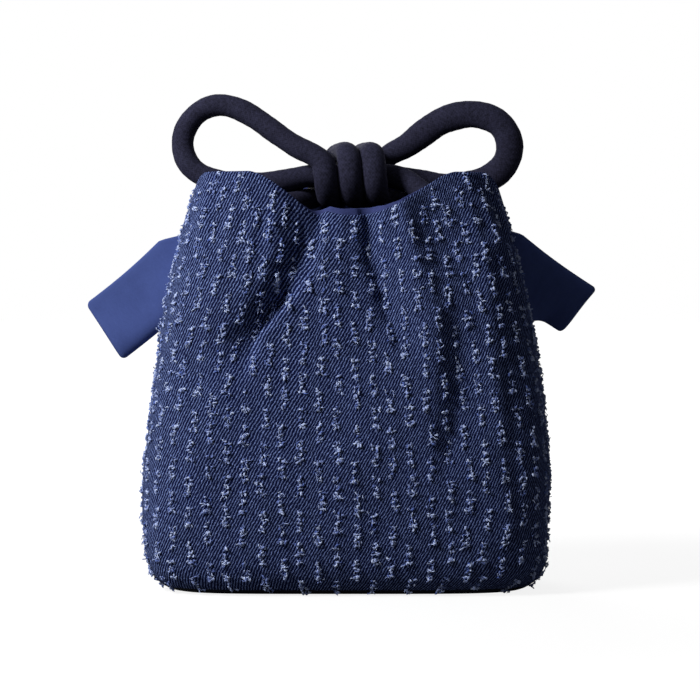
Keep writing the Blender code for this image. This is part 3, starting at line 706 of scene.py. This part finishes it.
def smooth_route(points, step):
    """Evenly spaced points along a smooth curve through the given ones."""
    p = np.array(points, float)
    p = np.vstack([2.0 * p[0] - p[1], p, 2.0 * p[-1] - p[-2]])
    fine = []
    for a, b, c, d in zip(p, p[1:], p[2:], p[3:]):
        for t in np.linspace(0.0, 1.0, 16, endpoint=False):
            line = 2.0 * b + (c - a) * t + (2.0 * a - 5.0 * b + 4.0 * c - d) * t**2
            fine.append((line + (3.0 * b - a - 3.0 * c + d) * t**3) / 2.0)
    fine = np.array(fine + [p[-2]])
    run = np.concatenate([[0.0], np.cumsum(np.linalg.norm(np.diff(fine, axis=0), axis=1))])
    at = np.linspace(0.0, run[-1], max(2, round(run[-1] / step) + 1))
    return np.stack([np.interp(at, run, fine[:, k]) for k in range(3)], axis=1)


def blur(values, reach):
    """Running mean along a list of values, with its ends held."""
    kernel = np.hanning(2 * reach + 3)[1:-1]
    kernel /= kernel.sum()
    padded = np.concatenate([[values[0]] * reach, values, [values[-1]] * reach])
    return np.stack([np.convolve(column, kernel, "valid") for column in padded.T], 1)


def run_points(side, count=13):
    turns = run_turns(side, count)
    rise = rise_at(turns, np.full(count, CHANNEL_HEIGHT))
    return inset(turns, rise, RUN_INSET, fine=0.0)


def stadium(share):
    """Point of a lap round the two core strands, from the front, over the bottom."""
    spread, radius = (CORD + KNOT_GAP) / 2.0, CORD + KNOT_GAP
    arc, straight = math.pi * radius, 2.0 * spread
    at = (share % 1.0) * 2.0 * (arc + straight)
    if at < arc / 2.0:
        return -spread - radius * math.cos(at / radius), -radius * math.sin(at / radius)
    at -= arc / 2.0
    if at < straight:
        return at - spread, -radius
    at -= straight
    if at < arc:
        return spread + radius * math.sin(at / radius), -radius * math.cos(at / radius)
    at -= arc
    if at < straight:
        return spread - at, radius
    angle = (at - straight) / radius
    return -spread - radius * math.sin(angle), radius * math.cos(angle)


def knot_wraps(left, count):
    """One strand's turns round the core. It passes the front of the knot nearly upright."""
    pitch = 2.0 * (CORD + KNOT_GAP) * KNOT_SLACK
    lag = -KNOT_UPRIGHTNESS if left else KNOT_UPRIGHTNESS
    points = []
    for share in np.linspace(KNOT_START_TURN, KNOT_END_TURN, count):
        y, z = stadium(share)
        along = share + lag * math.sin(2.0 * math.pi * share) / (2.0 * math.pi)
        points.append((along * pitch, y, KNOT_HEIGHT + z))
    return np.array(points)


def drawn_aside(points):
    """The points, with the knot and what lies near it shifted towards +X."""
    p = np.array(points, float)
    beyond = (np.abs(p[:, 0]) - 25.0 * MM) / (31.0 * MM)
    above = (p[:, 2] - CHANNEL_HEIGHT) / (KNOT_HEIGHT - 2.0 * CORD - CHANNEL_HEIGHT)
    p[:, 0] += KNOT_SHIFT * (1.0 - smoothstep(beyond)) * smoothstep(above)
    return p


def bight_route(left):
    """Route of the bight whose tails are on one side, and which points belong to the knot."""
    half_turn = np.array([1.0, 1.0, 1.0] if left else [-1.0, -1.0, 1.0])
    low, core = np.array(LOW_TAIL) * MM * half_turn, np.array(CORE_TAIL) * MM * half_turn
    wraps = knot_wraps(left, 45) * half_turn
    end = -KNOT_START_TURN * 2.0 * (CORD + KNOT_GAP) * KNOT_SLACK
    middle = [(x, (CORD + KNOT_GAP) / 2.0, KNOT_HEIGHT) for x in (end, 0.0, -end)]
    middle = np.array(middle) * half_turn
    loop = np.array(RIGHT_LOOP if left else LEFT_LOOP) * MM
    runs = [run_points(side) for side in ((-1, 1) if left else (1, -1))]
    faces, leads = [], []
    for run in runs:
        tip, next_in = (run[0], run[1]) if left else (run[-1], run[-2])
        out = (tip - next_in) / np.linalg.norm(tip - next_in)
        faces.append(tip + out * 0.3 * MM)
        leads.append(tip + out * 3.3 * MM)
    before = smooth_route([leads[0], *low[::-1], wraps[0]], 2.0 * MM)
    after = smooth_route([wraps[-1], *loop, *middle, *core, leads[1]], 2.0 * MM)
    route = drawn_aside(np.vstack([faces[0], before[:-1], wraps, after[1:], faces[1]]))
    # The turns, the tails and the loop meet at slight kinks, which this rounds off
    route[3:-3] = blur(route, 2)[3:-3]
    first = len(before)
    return route, (first, first + len(wraps))


routes = {"left": bight_route(True), "right": bight_route(False)}
for name, (route, knot) in routes.items():
    span = np.linalg.norm(np.diff(route, axis=0), axis=1).sum()
    print(name, "bight, mm:", round(span / MM, 1), "points:", len(route), "knot:", knot)

# %% [markdown]
# The cord is soft: its cover is a tube of canvas that flattens a little where it is pulled round
# a turn. A mesh tube with an oval section can show that, which a bevelled curve cannot. The
# section's narrow side faces the way in which the cord is pressed, and turns smoothly with it.


# %% Cord tubes
def cord_tube(name, path, press, halves, node, sides=20):
    """Tube along a path. press is the way each point is pressed, halves its half sizes."""
    tangent = np.gradient(path, axis=0)
    tangent /= np.linalg.norm(tangent, axis=1)[:, None]
    for i in range(1, len(press)):
        if np.dot(press[i], press[i - 1]) < 0.0:
            press[i] = -press[i]
    press = blur(press, 7)
    press -= tangent * np.sum(press * tangent, axis=1)[:, None]
    press /= np.linalg.norm(press, axis=1)[:, None]
    wide = np.cross(tangent, press)
    halves = blur(halves, 6)
    run = np.concatenate([[0.0], np.cumsum(np.linalg.norm(np.diff(path, axis=0), axis=1))])
    angle = np.arange(sides) / sides * 2.0 * math.pi
    rings = []
    for i, spot in enumerate(path):
        # The canvas puckers a little, never twice alike
        far = run[i] / MM
        ripple = 1.0 + 0.02 * math.sin(far * 0.35 + i % 2) + 0.015 * math.sin(far * 0.13)
        broad, thin = halves[i] * ripple
        rings.append(spot + np.outer(np.cos(angle), wide[i]) * broad
                     + np.outer(np.sin(angle), press[i]) * thin)
    u = np.arange(sides + 1) / sides * math.pi * CORD / MM
    made = loft(name, rings, run / MM, u, [CORD_CANVAS])
    face_outwards(made)
    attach(made, "root")
    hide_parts(node)
    print(name, "length, mm:", round(run[-1] / MM, 1), "faces:", len(made.data.polygons))


# Half sizes of the cord's section, across and along the way it is pressed
LOOSE, IN_KNOT, IN_CHANNEL = (5.5 * MM, 5.3 * MM), (6.1 * MM, 5.1 * MM), (5.4 * MM, 5.4 * MM)
IN_RIGHT_LOOP, IN_LEFT_LOOP = (6.9 * MM, 4.9 * MM), (5.6 * MM, 5.3 * MM)


def make_bight(name, node, left):
    path, (first, last) = routes["left" if left else "right"]
    press = np.tile([0.0, 1.0, 0.0], (len(path), 1))
    halves = np.tile(LOOSE, (len(path), 1))
    from_core = path[first:last] * [0.0, 1.0, 1.0] - [0.0, 0.0, KNOT_HEIGHT]
    press[first:last] = from_core / np.linalg.norm(from_core, axis=1)[:, None]
    halves[first:last] = IN_KNOT
    beyond = np.arange(len(path)) > last
    loop = beyond & (np.abs(path[:, 0] - 6.0 * MM) > 24.0 * MM) & (path[:, 2] > 200.0 * MM)
    loop &= (path[:, 0] > 0.0) if left else (path[:, 0] < 0.0)
    halves[loop] = IN_RIGHT_LOOP if left else IN_LEFT_LOOP
    cord_tube(name, path, press, halves, node)


make_bight("cord_bight_left", "cord_left_bight", True)
make_bight("cord_bight_right", "cord_right_bight", False)
for name, node, side in (("cord_run_front", "cord_front_run", FRONT_SIDE),
                         ("cord_run_back", "cord_back_run", BACK_SIDE)):
    path = smooth_route(run_points(side), 2.5 * MM)
    across = np.tile([0.0, 1.0, 0.0], (len(path), 1))
    halves = np.tile(IN_CHANNEL, (len(path), 1))
    cord_tube(name, path, across, halves, node, sides=16)

# %% [markdown]
# Pull tabs
# Each tab is a strap of plain cotton folded over a soft pad, closed at its end and sewn into the
# side seam. Its fold is the thick round lower edge, and its upper edge is thin. The section is a
# rounded bar whose thickness grows towards the fold, and the corners of the end are rounded.
# The right tab is turned towards the back and rolled over, so that it lies in the shade.

# %% Tabs
TAB_WIDTH, TAB_REACH, TAB_CORNER, TAB_SIDES = 34.5 * MM, 46.0 * MM, 3.0 * MM, 64
THIN_EDGE, FOLD_SWELL = 2.2, 4.8
SEAM_DEPTH, SEAM_BEND, FLARE_REACH = 2.0 * MM, 7.0 * MM, 36.0 * MM


def wall_reach(side, y, z):
    """How far the side wall stands out at each depth and height."""
    power = plan_power(z)
    wide, deep = half_plan(z)
    across = np.clip(np.abs(y) / deep, 0.0, 0.99)
    return wide * (1.0 - across**power) ** (1.0 / power) + side * STUFFED_SIDE


def make_tab(name, node, side, seat_height, droop, swing, roll, slant, root, flare):
    """One tab. droop, swing and roll turn it, in degrees, and root is its length in the bag.

    slant is how far the lower corner of the end reaches past the upper, for the width, and
    flare is how far the lower edge spreads down at the bag.
    """
    turn = Matrix.Rotation(side * math.radians(swing), 3, "Z")
    turn = turn @ Matrix.Rotation(side * math.radians(droop), 3, "Y")
    turn = np.array(turn @ Matrix.Rotation(math.radians(roll), 3, "X"))
    out, up, through = turn @ [side, 0, 0], turn @ [0, 0, 1], turn @ [0, 1, 0]
    spot = np.array([0.0 if side < 0 else 0.5])
    seat = skin(spot, rise_at(spot, np.array([seat_height])), 0.0)[0]
    length = root + TAB_REACH
    stations = list(np.linspace(0.0, length - TAB_CORNER, 34))
    stations += [length - TAB_CORNER + TAB_CORNER * math.sin(a) for a in
                 np.radians(np.linspace(8.0, 90.0, 11))]
    angle = np.arange(TAB_SIDES) / TAB_SIDES * 2.0 * math.pi
    c, s = np.cos(angle), np.sin(angle)
    rings, gap = [], None
    for along in stations:
        past = max(0.0, (along - length + TAB_CORNER) / TAB_CORNER)
        shrink = math.sqrt(max(0.0, 1.0 - past * past))
        # The upper edge is pressed thin and square, the fold below is thick and round
        round_edge = np.where(c > 0.0, 0.72, 0.90)
        wide = np.sign(c) * np.abs(c) ** round_edge
        wide *= TAB_WIDTH / 2.0 - TAB_CORNER * (1.0 - shrink)
        share = 0.5 - wide / TAB_WIDTH
        thick = (THIN_EDGE + FOLD_SWELL * smoothstep(share)) * MM * (1.0 - 0.14 * along / length)
        thick = thick * (0.25 + 0.75 * shrink)
        deep = np.sign(s) * np.abs(s) ** np.where(c > 0.0, 0.8, 0.95) * thick
        sag = 1.2 * MM * math.sin(math.pi * along / length)
        curl = -1.6 * MM * (wide / TAB_WIDTH * 2.0) ** 2
        reach = along - root - slant * wide * along / length
        near = 1.0 - smoothstep((along - root) / FLARE_REACH)
        ring = seat + np.outer(reach, out) + np.outer(wide - sag, up)
        ring += np.outer(deep + curl, through)
        ring[:, 2] -= flare * near * smoothstep(share)
        # The root bends in to the seam and ends inside the wall, between denim and lining
        inside = wall_reach(side, ring[:, 1], ring[:, 2]) - SEAM_DEPTH
        if gap is None:
            gap = np.maximum(side * ring[:, 0] - inside, 0.0)
        drawn_in = side * ring[:, 0] - gap * (1.0 - smoothstep(along / SEAM_BEND))
        ring[:, 0] = side * np.maximum(drawn_in, inside)
        rings.append(ring)
    v = np.array(stations) / MM
    u = np.arange(TAB_SIDES + 1) / TAB_SIDES * 2.0 * (TAB_WIDTH / MM + 5.0)
    made = loft(name, rings, v, u, [TAB_COTTON])
    face_outwards(made)
    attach(made, "root")
    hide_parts(node)
    return made


tabs = [make_tab("pull_tab_left", "tab_left", -1, 159.6 * MM, 41.0, 0.0, -6.0, 0.13,
                 12.0 * MM, 0.0),
        make_tab("pull_tab_right", "tab_right", 1, 165.3 * MM, 31.5, 28.0, 52.0, 0.25,
                 17.0 * MM, 22.0 * MM)]
print("tabs:", [(t.name, len(t.data.polygons)) for t in tabs])

# %% [markdown]
# Clipped tufts
# On this cloth a thick pale yarn runs over the denim in short floats that are cut and brushed,
# so that each float frays into a small tuft of curled ends. The tufts stand in columns about
# 9.4 mm apart and 16.6 mm up and down, each column half a step off the next. They repeat by a
# rule, so Geometry Nodes make them: a point and the cloth's directions are stored for each tuft,
# the tree copies the point for each yarn end, moves it into one of three small clumps, and sets
# one of six curled tubes on it. The seed is fixed, so that each run gives the same cloth.


# %% Tuft yarn
def tuft_yarn():
    # Soft-spun cotton, bleached to a pale blue grey: matte, with dye left in some of the ends
    made, tree, shader = new_material("bleached_cotton_yarn")
    bleach = add_node(tree, "ShaderNodeAttribute", {"attribute_name": "bleach"})
    place = add_node(tree, "ShaderNodeTexCoord")
    fibre = add_node(tree, "ShaderNodeTexNoise", None,
                     {"Vector": place.outputs["Object"], "Scale": 1.0 / (0.7 * MM), "Detail": 2.0})
    mixed = add_node(tree, "ShaderNodeMath", {"operation": "MULTIPLY_ADD"},
                     {0: fibre.outputs["Fac"], 1: 0.5, 2: bleach.outputs["Fac"]})
    tone = add_node(tree, "ShaderNodeMapRange", None,
                    {"Value": mixed.outputs[0], "From Min": 0.2, "From Max": 1.25})
    colour = add_node(tree, "ShaderNodeMix", {"data_type": "RGBA"},
                      {"Factor": tone.outputs[0], 6: linear("#4A60A8"), 7: linear("#C8D6F8")})
    tree.links.new(colour.outputs[2], shader.inputs["Base Color"])
    shader.inputs["Roughness"].default_value = 0.95
    shader.inputs["Specular IOR Level"].default_value = 0.05
    return made


TUFT_YARN = tuft_yarn()
print("material:", TUFT_YARN.name)


# %% Points where the tufts stand
TUFT_COLUMNS, TUFT_ROWS, TUFT_STEP, LOWEST_TUFT = 60, 13, 16.6 * MM, 5.5 * MM


def tuft_points(name, low_turn, high_turn):
    """A mesh of loose points with the cloth's directions, one point for each tuft."""
    rng = np.random.default_rng(41)
    turns, heights = [], []
    for column in range(TUFT_COLUMNS):
        for row in range(TUFT_ROWS):
            jitter = rng.normal(0.0, 1.0, 2)
            turn = (column + 0.5) / TUFT_COLUMNS + 0.0011 * jitter[0]
            z = LOWEST_TUFT + (row + 0.5 * (column % 2)) * TUFT_STEP + 0.9 * MM * jitter[1]
            top = rim_height(np.array([turn]))[0] - 4.0 * MM
            if low_turn <= turn < high_turn and z < top:
                turns.append(turn)
                heights.append(z)
    turns, heights = np.array(turns), np.array(heights)
    edge = np.clip(1.0 - heights / BASE_EDGE, 0.0, 1.0)
    rise = np.where(heights < BASE_EDGE, np.arccos(edge) / (math.pi / 2.0),
                    rise_at(turns, heights))
    point, across, up, out = skin_frame(turns, rise)
    mesh = bpy.data.meshes.new(name)
    mesh.from_pydata(point.tolist(), [], [])
    for label, values in (("across", across), ("upward", up), ("outward", out)):
        layer = mesh.attributes.new(label, "FLOAT_VECTOR", "POINT")
        layer.data.foreach_set("vector", values.astype(np.float32).ravel())
    made = bpy.data.objects.new(name, mesh)
    bpy.context.scene.collection.objects.link(made)
    return made


# %% Tree that sets the yarn ends
YARN_BENDS = [  # start handle, end handle and end of each curled yarn end, in mm
    ((0.1, 0.1, 0.8), (0.8, 0.3, 0.9), (0.9, 0.4, 0.2)),
    ((-0.2, 0.3, 0.7), (0.4, 1.0, 0.8), (0.8, 0.6, 0.2)),
    ((0.4, -0.1, 0.7), (1.1, 0.5, 0.6), (0.6, 0.9, 0.2)),
    ((-0.3, -0.3, 0.7), (-0.9, 0.5, 0.8), (-0.3, 1.0, 0.3)),
    ((0.3, 0.6, 0.5), (-0.5, 1.1, 0.9), (0.5, 1.5, 0.5)),
    ((0.7, 0.2, 0.7), (1.3, -0.8, 1.0), (1.9, -0.3, 0.7)),
]


def tuft_tree():
    tree = bpy.data.node_groups.new("clipped_tufts", "GeometryNodeTree")
    for name, kind in (("Points", "Geometry"), ("Fewest yarns", "Int"), ("Most yarns", "Int"),
                       ("Yarn thickness", "Float"), ("Tuft width", "Float"),
                       ("Tuft height", "Float"), ("Seed", "Int"), ("Yarn", "Material")):
        tree.interface.new_socket(name, in_out="INPUT", socket_type="NodeSocket" + kind)
    tree.interface.new_socket("Tufts", in_out="OUTPUT", socket_type="NodeSocketGeometry")
    given = add_node(tree, "NodeGroupInput").outputs
    seed = given["Seed"]
    count = add_node(tree, "FunctionNodeRandomValue", {"data_type": "INT"},
                     {4: given["Fewest yarns"], 5: given["Most yarns"], 8: seed})
    copies = add_node(tree, "GeometryNodeDuplicateElements", {"domain": "POINT"},
                      {"Geometry": given["Points"], "Amount": count.outputs[2]})

    def chance(low, high, offset):
        shifted = add_node(tree, "ShaderNodeMath", {"operation": "ADD"}, {0: seed, 1: offset})
        return add_node(tree, "FunctionNodeRandomValue", {"data_type": "FLOAT"},
                        {2: low, 3: high, 8: shifted.outputs[0]}).outputs[1]

    # The cloth's directions, which are stored on the points
    cloth = {}
    for label in ("across", "upward", "outward"):
        stored = add_node(tree, "GeometryNodeInputNamedAttribute",
                          {"data_type": "FLOAT_VECTOR"}, {"Name": label})
        cloth[label] = next(out for out in stored.outputs
                            if out.enabled and out.name == "Attribute")

    # Each tuft is three small clumps, one above the other, and the lowest has the most ends
    place = add_node(tree, "ShaderNodeMath", {"operation": "POWER"},
                     {0: chance(0.0, 1.0, 11.0), 1: 1.3})
    thirds = add_node(tree, "ShaderNodeMath", {"operation": "MULTIPLY"},
                      {0: place.outputs[0], 1: 2.999})
    clump = add_node(tree, "ShaderNodeMath", {"operation": "FLOOR"}, {0: thirds.outputs[0]})
    height = add_node(tree, "ShaderNodeMath", {"operation": "MULTIPLY_ADD"},
                      {0: clump.outputs[0], 1: 0.36, 2: chance(-0.47, -0.25, 10.0)})
    side = add_node(tree, "ShaderNodeMath", {"operation": "ADD"},
                    {0: chance(-0.25, 0.25, 12.0), 1: chance(-0.25, 0.25, 13.0)})
    rising = add_node(tree, "ShaderNodeMath", {"operation": "MULTIPLY"},
                      {0: height.outputs[0], 1: given["Tuft height"]})
    spread = add_node(tree, "ShaderNodeMath", {"operation": "MULTIPLY"},
                      {0: side.outputs[0], 1: given["Tuft width"]})
    offset = (0.0, 0.0, 0.0)
    for label, amount in (("upward", rising.outputs[0]), ("across", spread.outputs[0]),
                          ("outward", chance(-0.35 * MM, 0.3 * MM, 14.0))):
        step = add_node(tree, "ShaderNodeVectorMath", {"operation": "SCALE"},
                        {0: cloth[label], "Scale": amount})
        offset = add_node(tree, "ShaderNodeVectorMath", {"operation": "ADD"},
                          {0: step.outputs[0], 1: offset}).outputs[0]
    moved = add_node(tree, "GeometryNodeSetPosition", None,
                     {"Geometry": copies.outputs["Geometry"], "Offset": offset})

    shapes = add_node(tree, "GeometryNodeJoinGeometry")
    for number, (start, end, tip) in enumerate(YARN_BENDS):
        bend = add_node(tree, "GeometryNodeCurvePrimitiveBezierSegment", {"mode": "POSITION"},
                        {"Resolution": 5, "Start": (0.0, 0.0, 0.0),
                         "Start Handle": [c * MM for c in start],
                         "End Handle": [c * MM for c in end], "End": [c * MM for c in tip]})
        # The last two ends are single fine threads
        share = 0.5 if number < 4 else 0.28
        radius = add_node(tree, "ShaderNodeMath", {"operation": "MULTIPLY"},
                          {0: given["Yarn thickness"], 1: share})
        ring = add_node(tree, "GeometryNodeCurvePrimitiveCircle", None,
                        {"Resolution": 4, "Radius": radius.outputs[0]})
        tube = add_node(tree, "GeometryNodeCurveToMesh", None,
                        {"Curve": bend.outputs[0], "Profile Curve": ring.outputs[0],
                         "Fill Caps": True})
        one = add_node(tree, "GeometryNodeGeometryToInstance", None, {0: tube.outputs[0]})
        tree.links.new(one.outputs[0], shapes.inputs[0])

    upright = add_node(tree, "FunctionNodeAxesToRotation",
                       {"primary_axis": "Z", "secondary_axis": "X"},
                       {0: cloth["outward"], 1: cloth["across"]})
    lean = add_node(tree, "ShaderNodeCombineXYZ", None,
                    {0: chance(-0.6, 0.6, 15.0), 1: chance(-0.6, 0.6, 16.0),
                     2: chance(0.0, 2.0 * math.pi, 17.0)})
    tilt = add_node(tree, "FunctionNodeEulerToRotation", None, {0: lean.outputs[0]})
    facing = add_node(tree, "FunctionNodeRotateRotation", {"rotation_space": "LOCAL"},
                      {0: upright.outputs[0], 1: tilt.outputs[0]})
    pick = add_node(tree, "FunctionNodeRandomValue", {"data_type": "INT"},
                    {4: 0, 5: len(YARN_BENDS) - 1, 8: seed})
    ends = add_node(tree, "GeometryNodeInstanceOnPoints", None,
                    {"Points": moved.outputs[0], "Instance": shapes.outputs[0],
                     "Pick Instance": True, "Instance Index": pick.outputs[2],
                     "Rotation": facing.outputs[0], "Scale": chance(0.7, 1.25, 18.0)})
    stored = add_node(tree, "GeometryNodeStoreNamedAttribute",
                      {"data_type": "FLOAT", "domain": "INSTANCE"},
                      {"Geometry": ends.outputs[0], "Name": "bleach",
                       "Value": chance(0.0, 1.0, 19.0)})
    real = add_node(tree, "GeometryNodeRealizeInstances", None, {0: stored.outputs[0]})
    finish = add_node(tree, "GeometryNodeSetMaterial", None,
                      {"Geometry": real.outputs[0], "Material": given["Yarn"]})
    add_node(tree, "NodeGroupOutput", None, {0: finish.outputs[0]})
    return tree


TUFT_TREE = tuft_tree()
print("tree nodes:", len(TUFT_TREE.nodes))


# %% Tufts made into plain meshes
def grow(points, tree, settings, name):
    """The mesh that a tree grows from an object, as a new object, without the modifier."""
    modifier = points.modifiers.new("grow", "NODES")
    modifier.node_group = tree
    for item in tree.interface.items_tree:
        if item.in_out == "INPUT" and item.name in settings:
            modifier[item.identifier] = settings[item.name]
    seen = points.evaluated_get(bpy.context.evaluated_depsgraph_get())
    mesh = bpy.data.meshes.new_from_object(seen)
    mesh.name = name
    finishes = [m for m in mesh.materials if m]
    mesh.materials.clear()
    for finish in finishes:
        mesh.materials.append(finish)
    mesh.polygons.foreach_set("material_index", [0] * len(mesh.polygons))
    mesh.shade_smooth()
    made = bpy.data.objects.new(name, mesh)
    bpy.context.scene.collection.objects.link(made)
    old = points.data
    bpy.data.objects.remove(points)
    bpy.data.meshes.remove(old)
    return made


TUFT_SIZES = {"Fewest yarns": 18, "Most yarns": 28, "Yarn thickness": 0.85 * MM,
              "Tuft width": 4.2 * MM, "Tuft height": 11.0 * MM, "Seed": 7, "Yarn": TUFT_YARN}
CLEAR_OF_GROUND = 0.3 * MM
for name, low_turn in (("tufts_front_left", 0.0), ("tufts_front_right", 0.25),
                       ("tufts_back_right", 0.5), ("tufts_back_left", 0.75)):
    points = tuft_points(name + "_points", low_turn, low_turn + 0.25)
    made = grow(points, TUFT_TREE, TUFT_SIZES, name)
    for spot in made.data.vertices:
        spot.co.z = max(spot.co.z, CLEAR_OF_GROUND)
    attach(made, "root")
    made.data.calc_loop_triangles()
    print(name, "triangles:", len(made.data.loop_triangles),
          [m.name for m in made.data.materials])

# %% [markdown]
# Studio
# The photograph is a front view from a little above, with a long lens, so the bag shows hardly
# any perspective. The light is one soft window at the left and little else: the left tab is
# bright blue and the right one almost black. The world and the floor are white to the camera
# alone, so that the white ground puts no more light on the bag. The lamp at the back is for
# views from behind, and hardly any of it reaches the front.

# %% Camera
FRONT_PLANE, VIEW_WIDTH, DISTANCE, ELEVATION = -0.047, 343.5 * MM, 1.1, math.radians(2.0)
TARGET = Vector((0.0025, FRONT_PLANE, 0.1220))
SENSOR_WIDTH = 36.0
camera_data = bpy.data.cameras.new("camera")
camera_data.sensor_fit = "HORIZONTAL"
camera_data.sensor_width = SENSOR_WIDTH
camera_data.lens = SENSOR_WIDTH * DISTANCE / VIEW_WIDTH
camera = bpy.data.objects.new("camera", camera_data)
camera.location = TARGET + DISTANCE * Vector((0.0, -math.cos(ELEVATION), math.sin(ELEVATION)))
camera.rotation_euler = (math.pi / 2.0 - ELEVATION, 0.0, 0.0)
bpy.context.scene.collection.objects.link(camera)
bpy.context.scene.camera = camera
print("lens, mm:", round(camera_data.lens, 1), "camera at", [round(c, 3) for c in camera.location])


# %% Lamps
def lamp(name, place, aim, size, watts):
    data = bpy.data.lights.new(name, "AREA")
    data.shape = "DISK"
    data.size, data.energy = size, watts
    made = bpy.data.objects.new(name, data)
    made.location = place
    made.rotation_euler = (Vector(aim) - Vector(place)).to_track_quat("-Z", "Y").to_euler()
    bpy.context.scene.collection.objects.link(made)
    return made


lamps = [lamp("window_light", (-0.66, -0.43, 0.63), (0.0, 0.0, 0.12), 0.30, 9.6),
         lamp("right_fill", (1.4, -0.4, 0.6), (0.0, 0.0, 0.1), 0.8, 0.2),
         lamp("back_fill", (-0.5, 1.5, 0.6), (0.0, 0.0, 0.1), 1.0, 12.0)]
print("lamps:", [(lit.name, lit.data.energy) for lit in lamps])

# %% White ground
scene = bpy.context.scene
scene.view_settings.view_transform = "Standard"
world = bpy.data.worlds.new("studio")
world.use_nodes = True
world.node_tree.nodes.clear()
path = add_node(world.node_tree, "ShaderNodeLightPath")
seen = add_node(world.node_tree, "ShaderNodeMath", {"operation": "MAXIMUM"},
                {0: path.outputs["Is Camera Ray"], 1: path.outputs["Is Glossy Ray"]})
seen = add_node(world.node_tree, "ShaderNodeMath", {"operation": "MAXIMUM"},
                {0: seen.outputs[0], 1: path.outputs["Is Transmission Ray"]})
strength = add_node(world.node_tree, "ShaderNodeMapRange", None,
                    {"Value": seen.outputs[0], "To Min": 0.05, "To Max": 1.0})
sky = add_node(world.node_tree, "ShaderNodeBackground", None,
               {"Color": (1.0, 1.0, 1.0, 1.0), "Strength": strength.outputs[0]})
add_node(world.node_tree, "ShaderNodeOutputWorld", None, {"Surface": sky.outputs[0]})
scene.world = world

floor_mesh = bpy.data.meshes.new("floor")
floor_mesh.from_pydata([(x, y, 0.0) for x, y in ((-6, -6), (6, -6), (6, 6), (-6, 6))], [],
                       [(0, 1, 2, 3)])
floor = bpy.data.objects.new("floor", floor_mesh)
scene.collection.objects.link(floor)
# Matte paper: it takes the bag's shadow. It is grey to the light, so that it throws little back
# up at the bag, and the camera sees it lifted to white
paper, tree, shader = new_material("matte_white_paper")
shader.inputs["Base Color"].default_value = linear("#787878")
shader.inputs["Roughness"].default_value = 0.9
shader.inputs["Specular IOR Level"].default_value = 0.1
path = add_node(tree, "ShaderNodeLightPath")
spot = add_node(tree, "ShaderNodeTexCoord")
away = add_node(tree, "ShaderNodeVectorMath", {"operation": "LENGTH"}, {0: spot.outputs["Object"]})
glow = add_node(tree, "ShaderNodeMapRange", {"interpolation_type": "SMOOTHSTEP"},
                {"Value": away.outputs["Value"], "From Min": 0.2, "From Max": 0.55,
                 "To Min": 0.86, "To Max": 1.0})
lift = add_node(tree, "ShaderNodeMath", {"operation": "MULTIPLY"},
                {0: path.outputs["Is Camera Ray"], 1: glow.outputs[0]})
shader.inputs["Emission Color"].default_value = (1.0, 1.0, 1.0, 1.0)
tree.links.new(lift.outputs[0], shader.inputs["Emission Strength"])
floor_mesh.materials.append(paper)
print("floor and world are set")
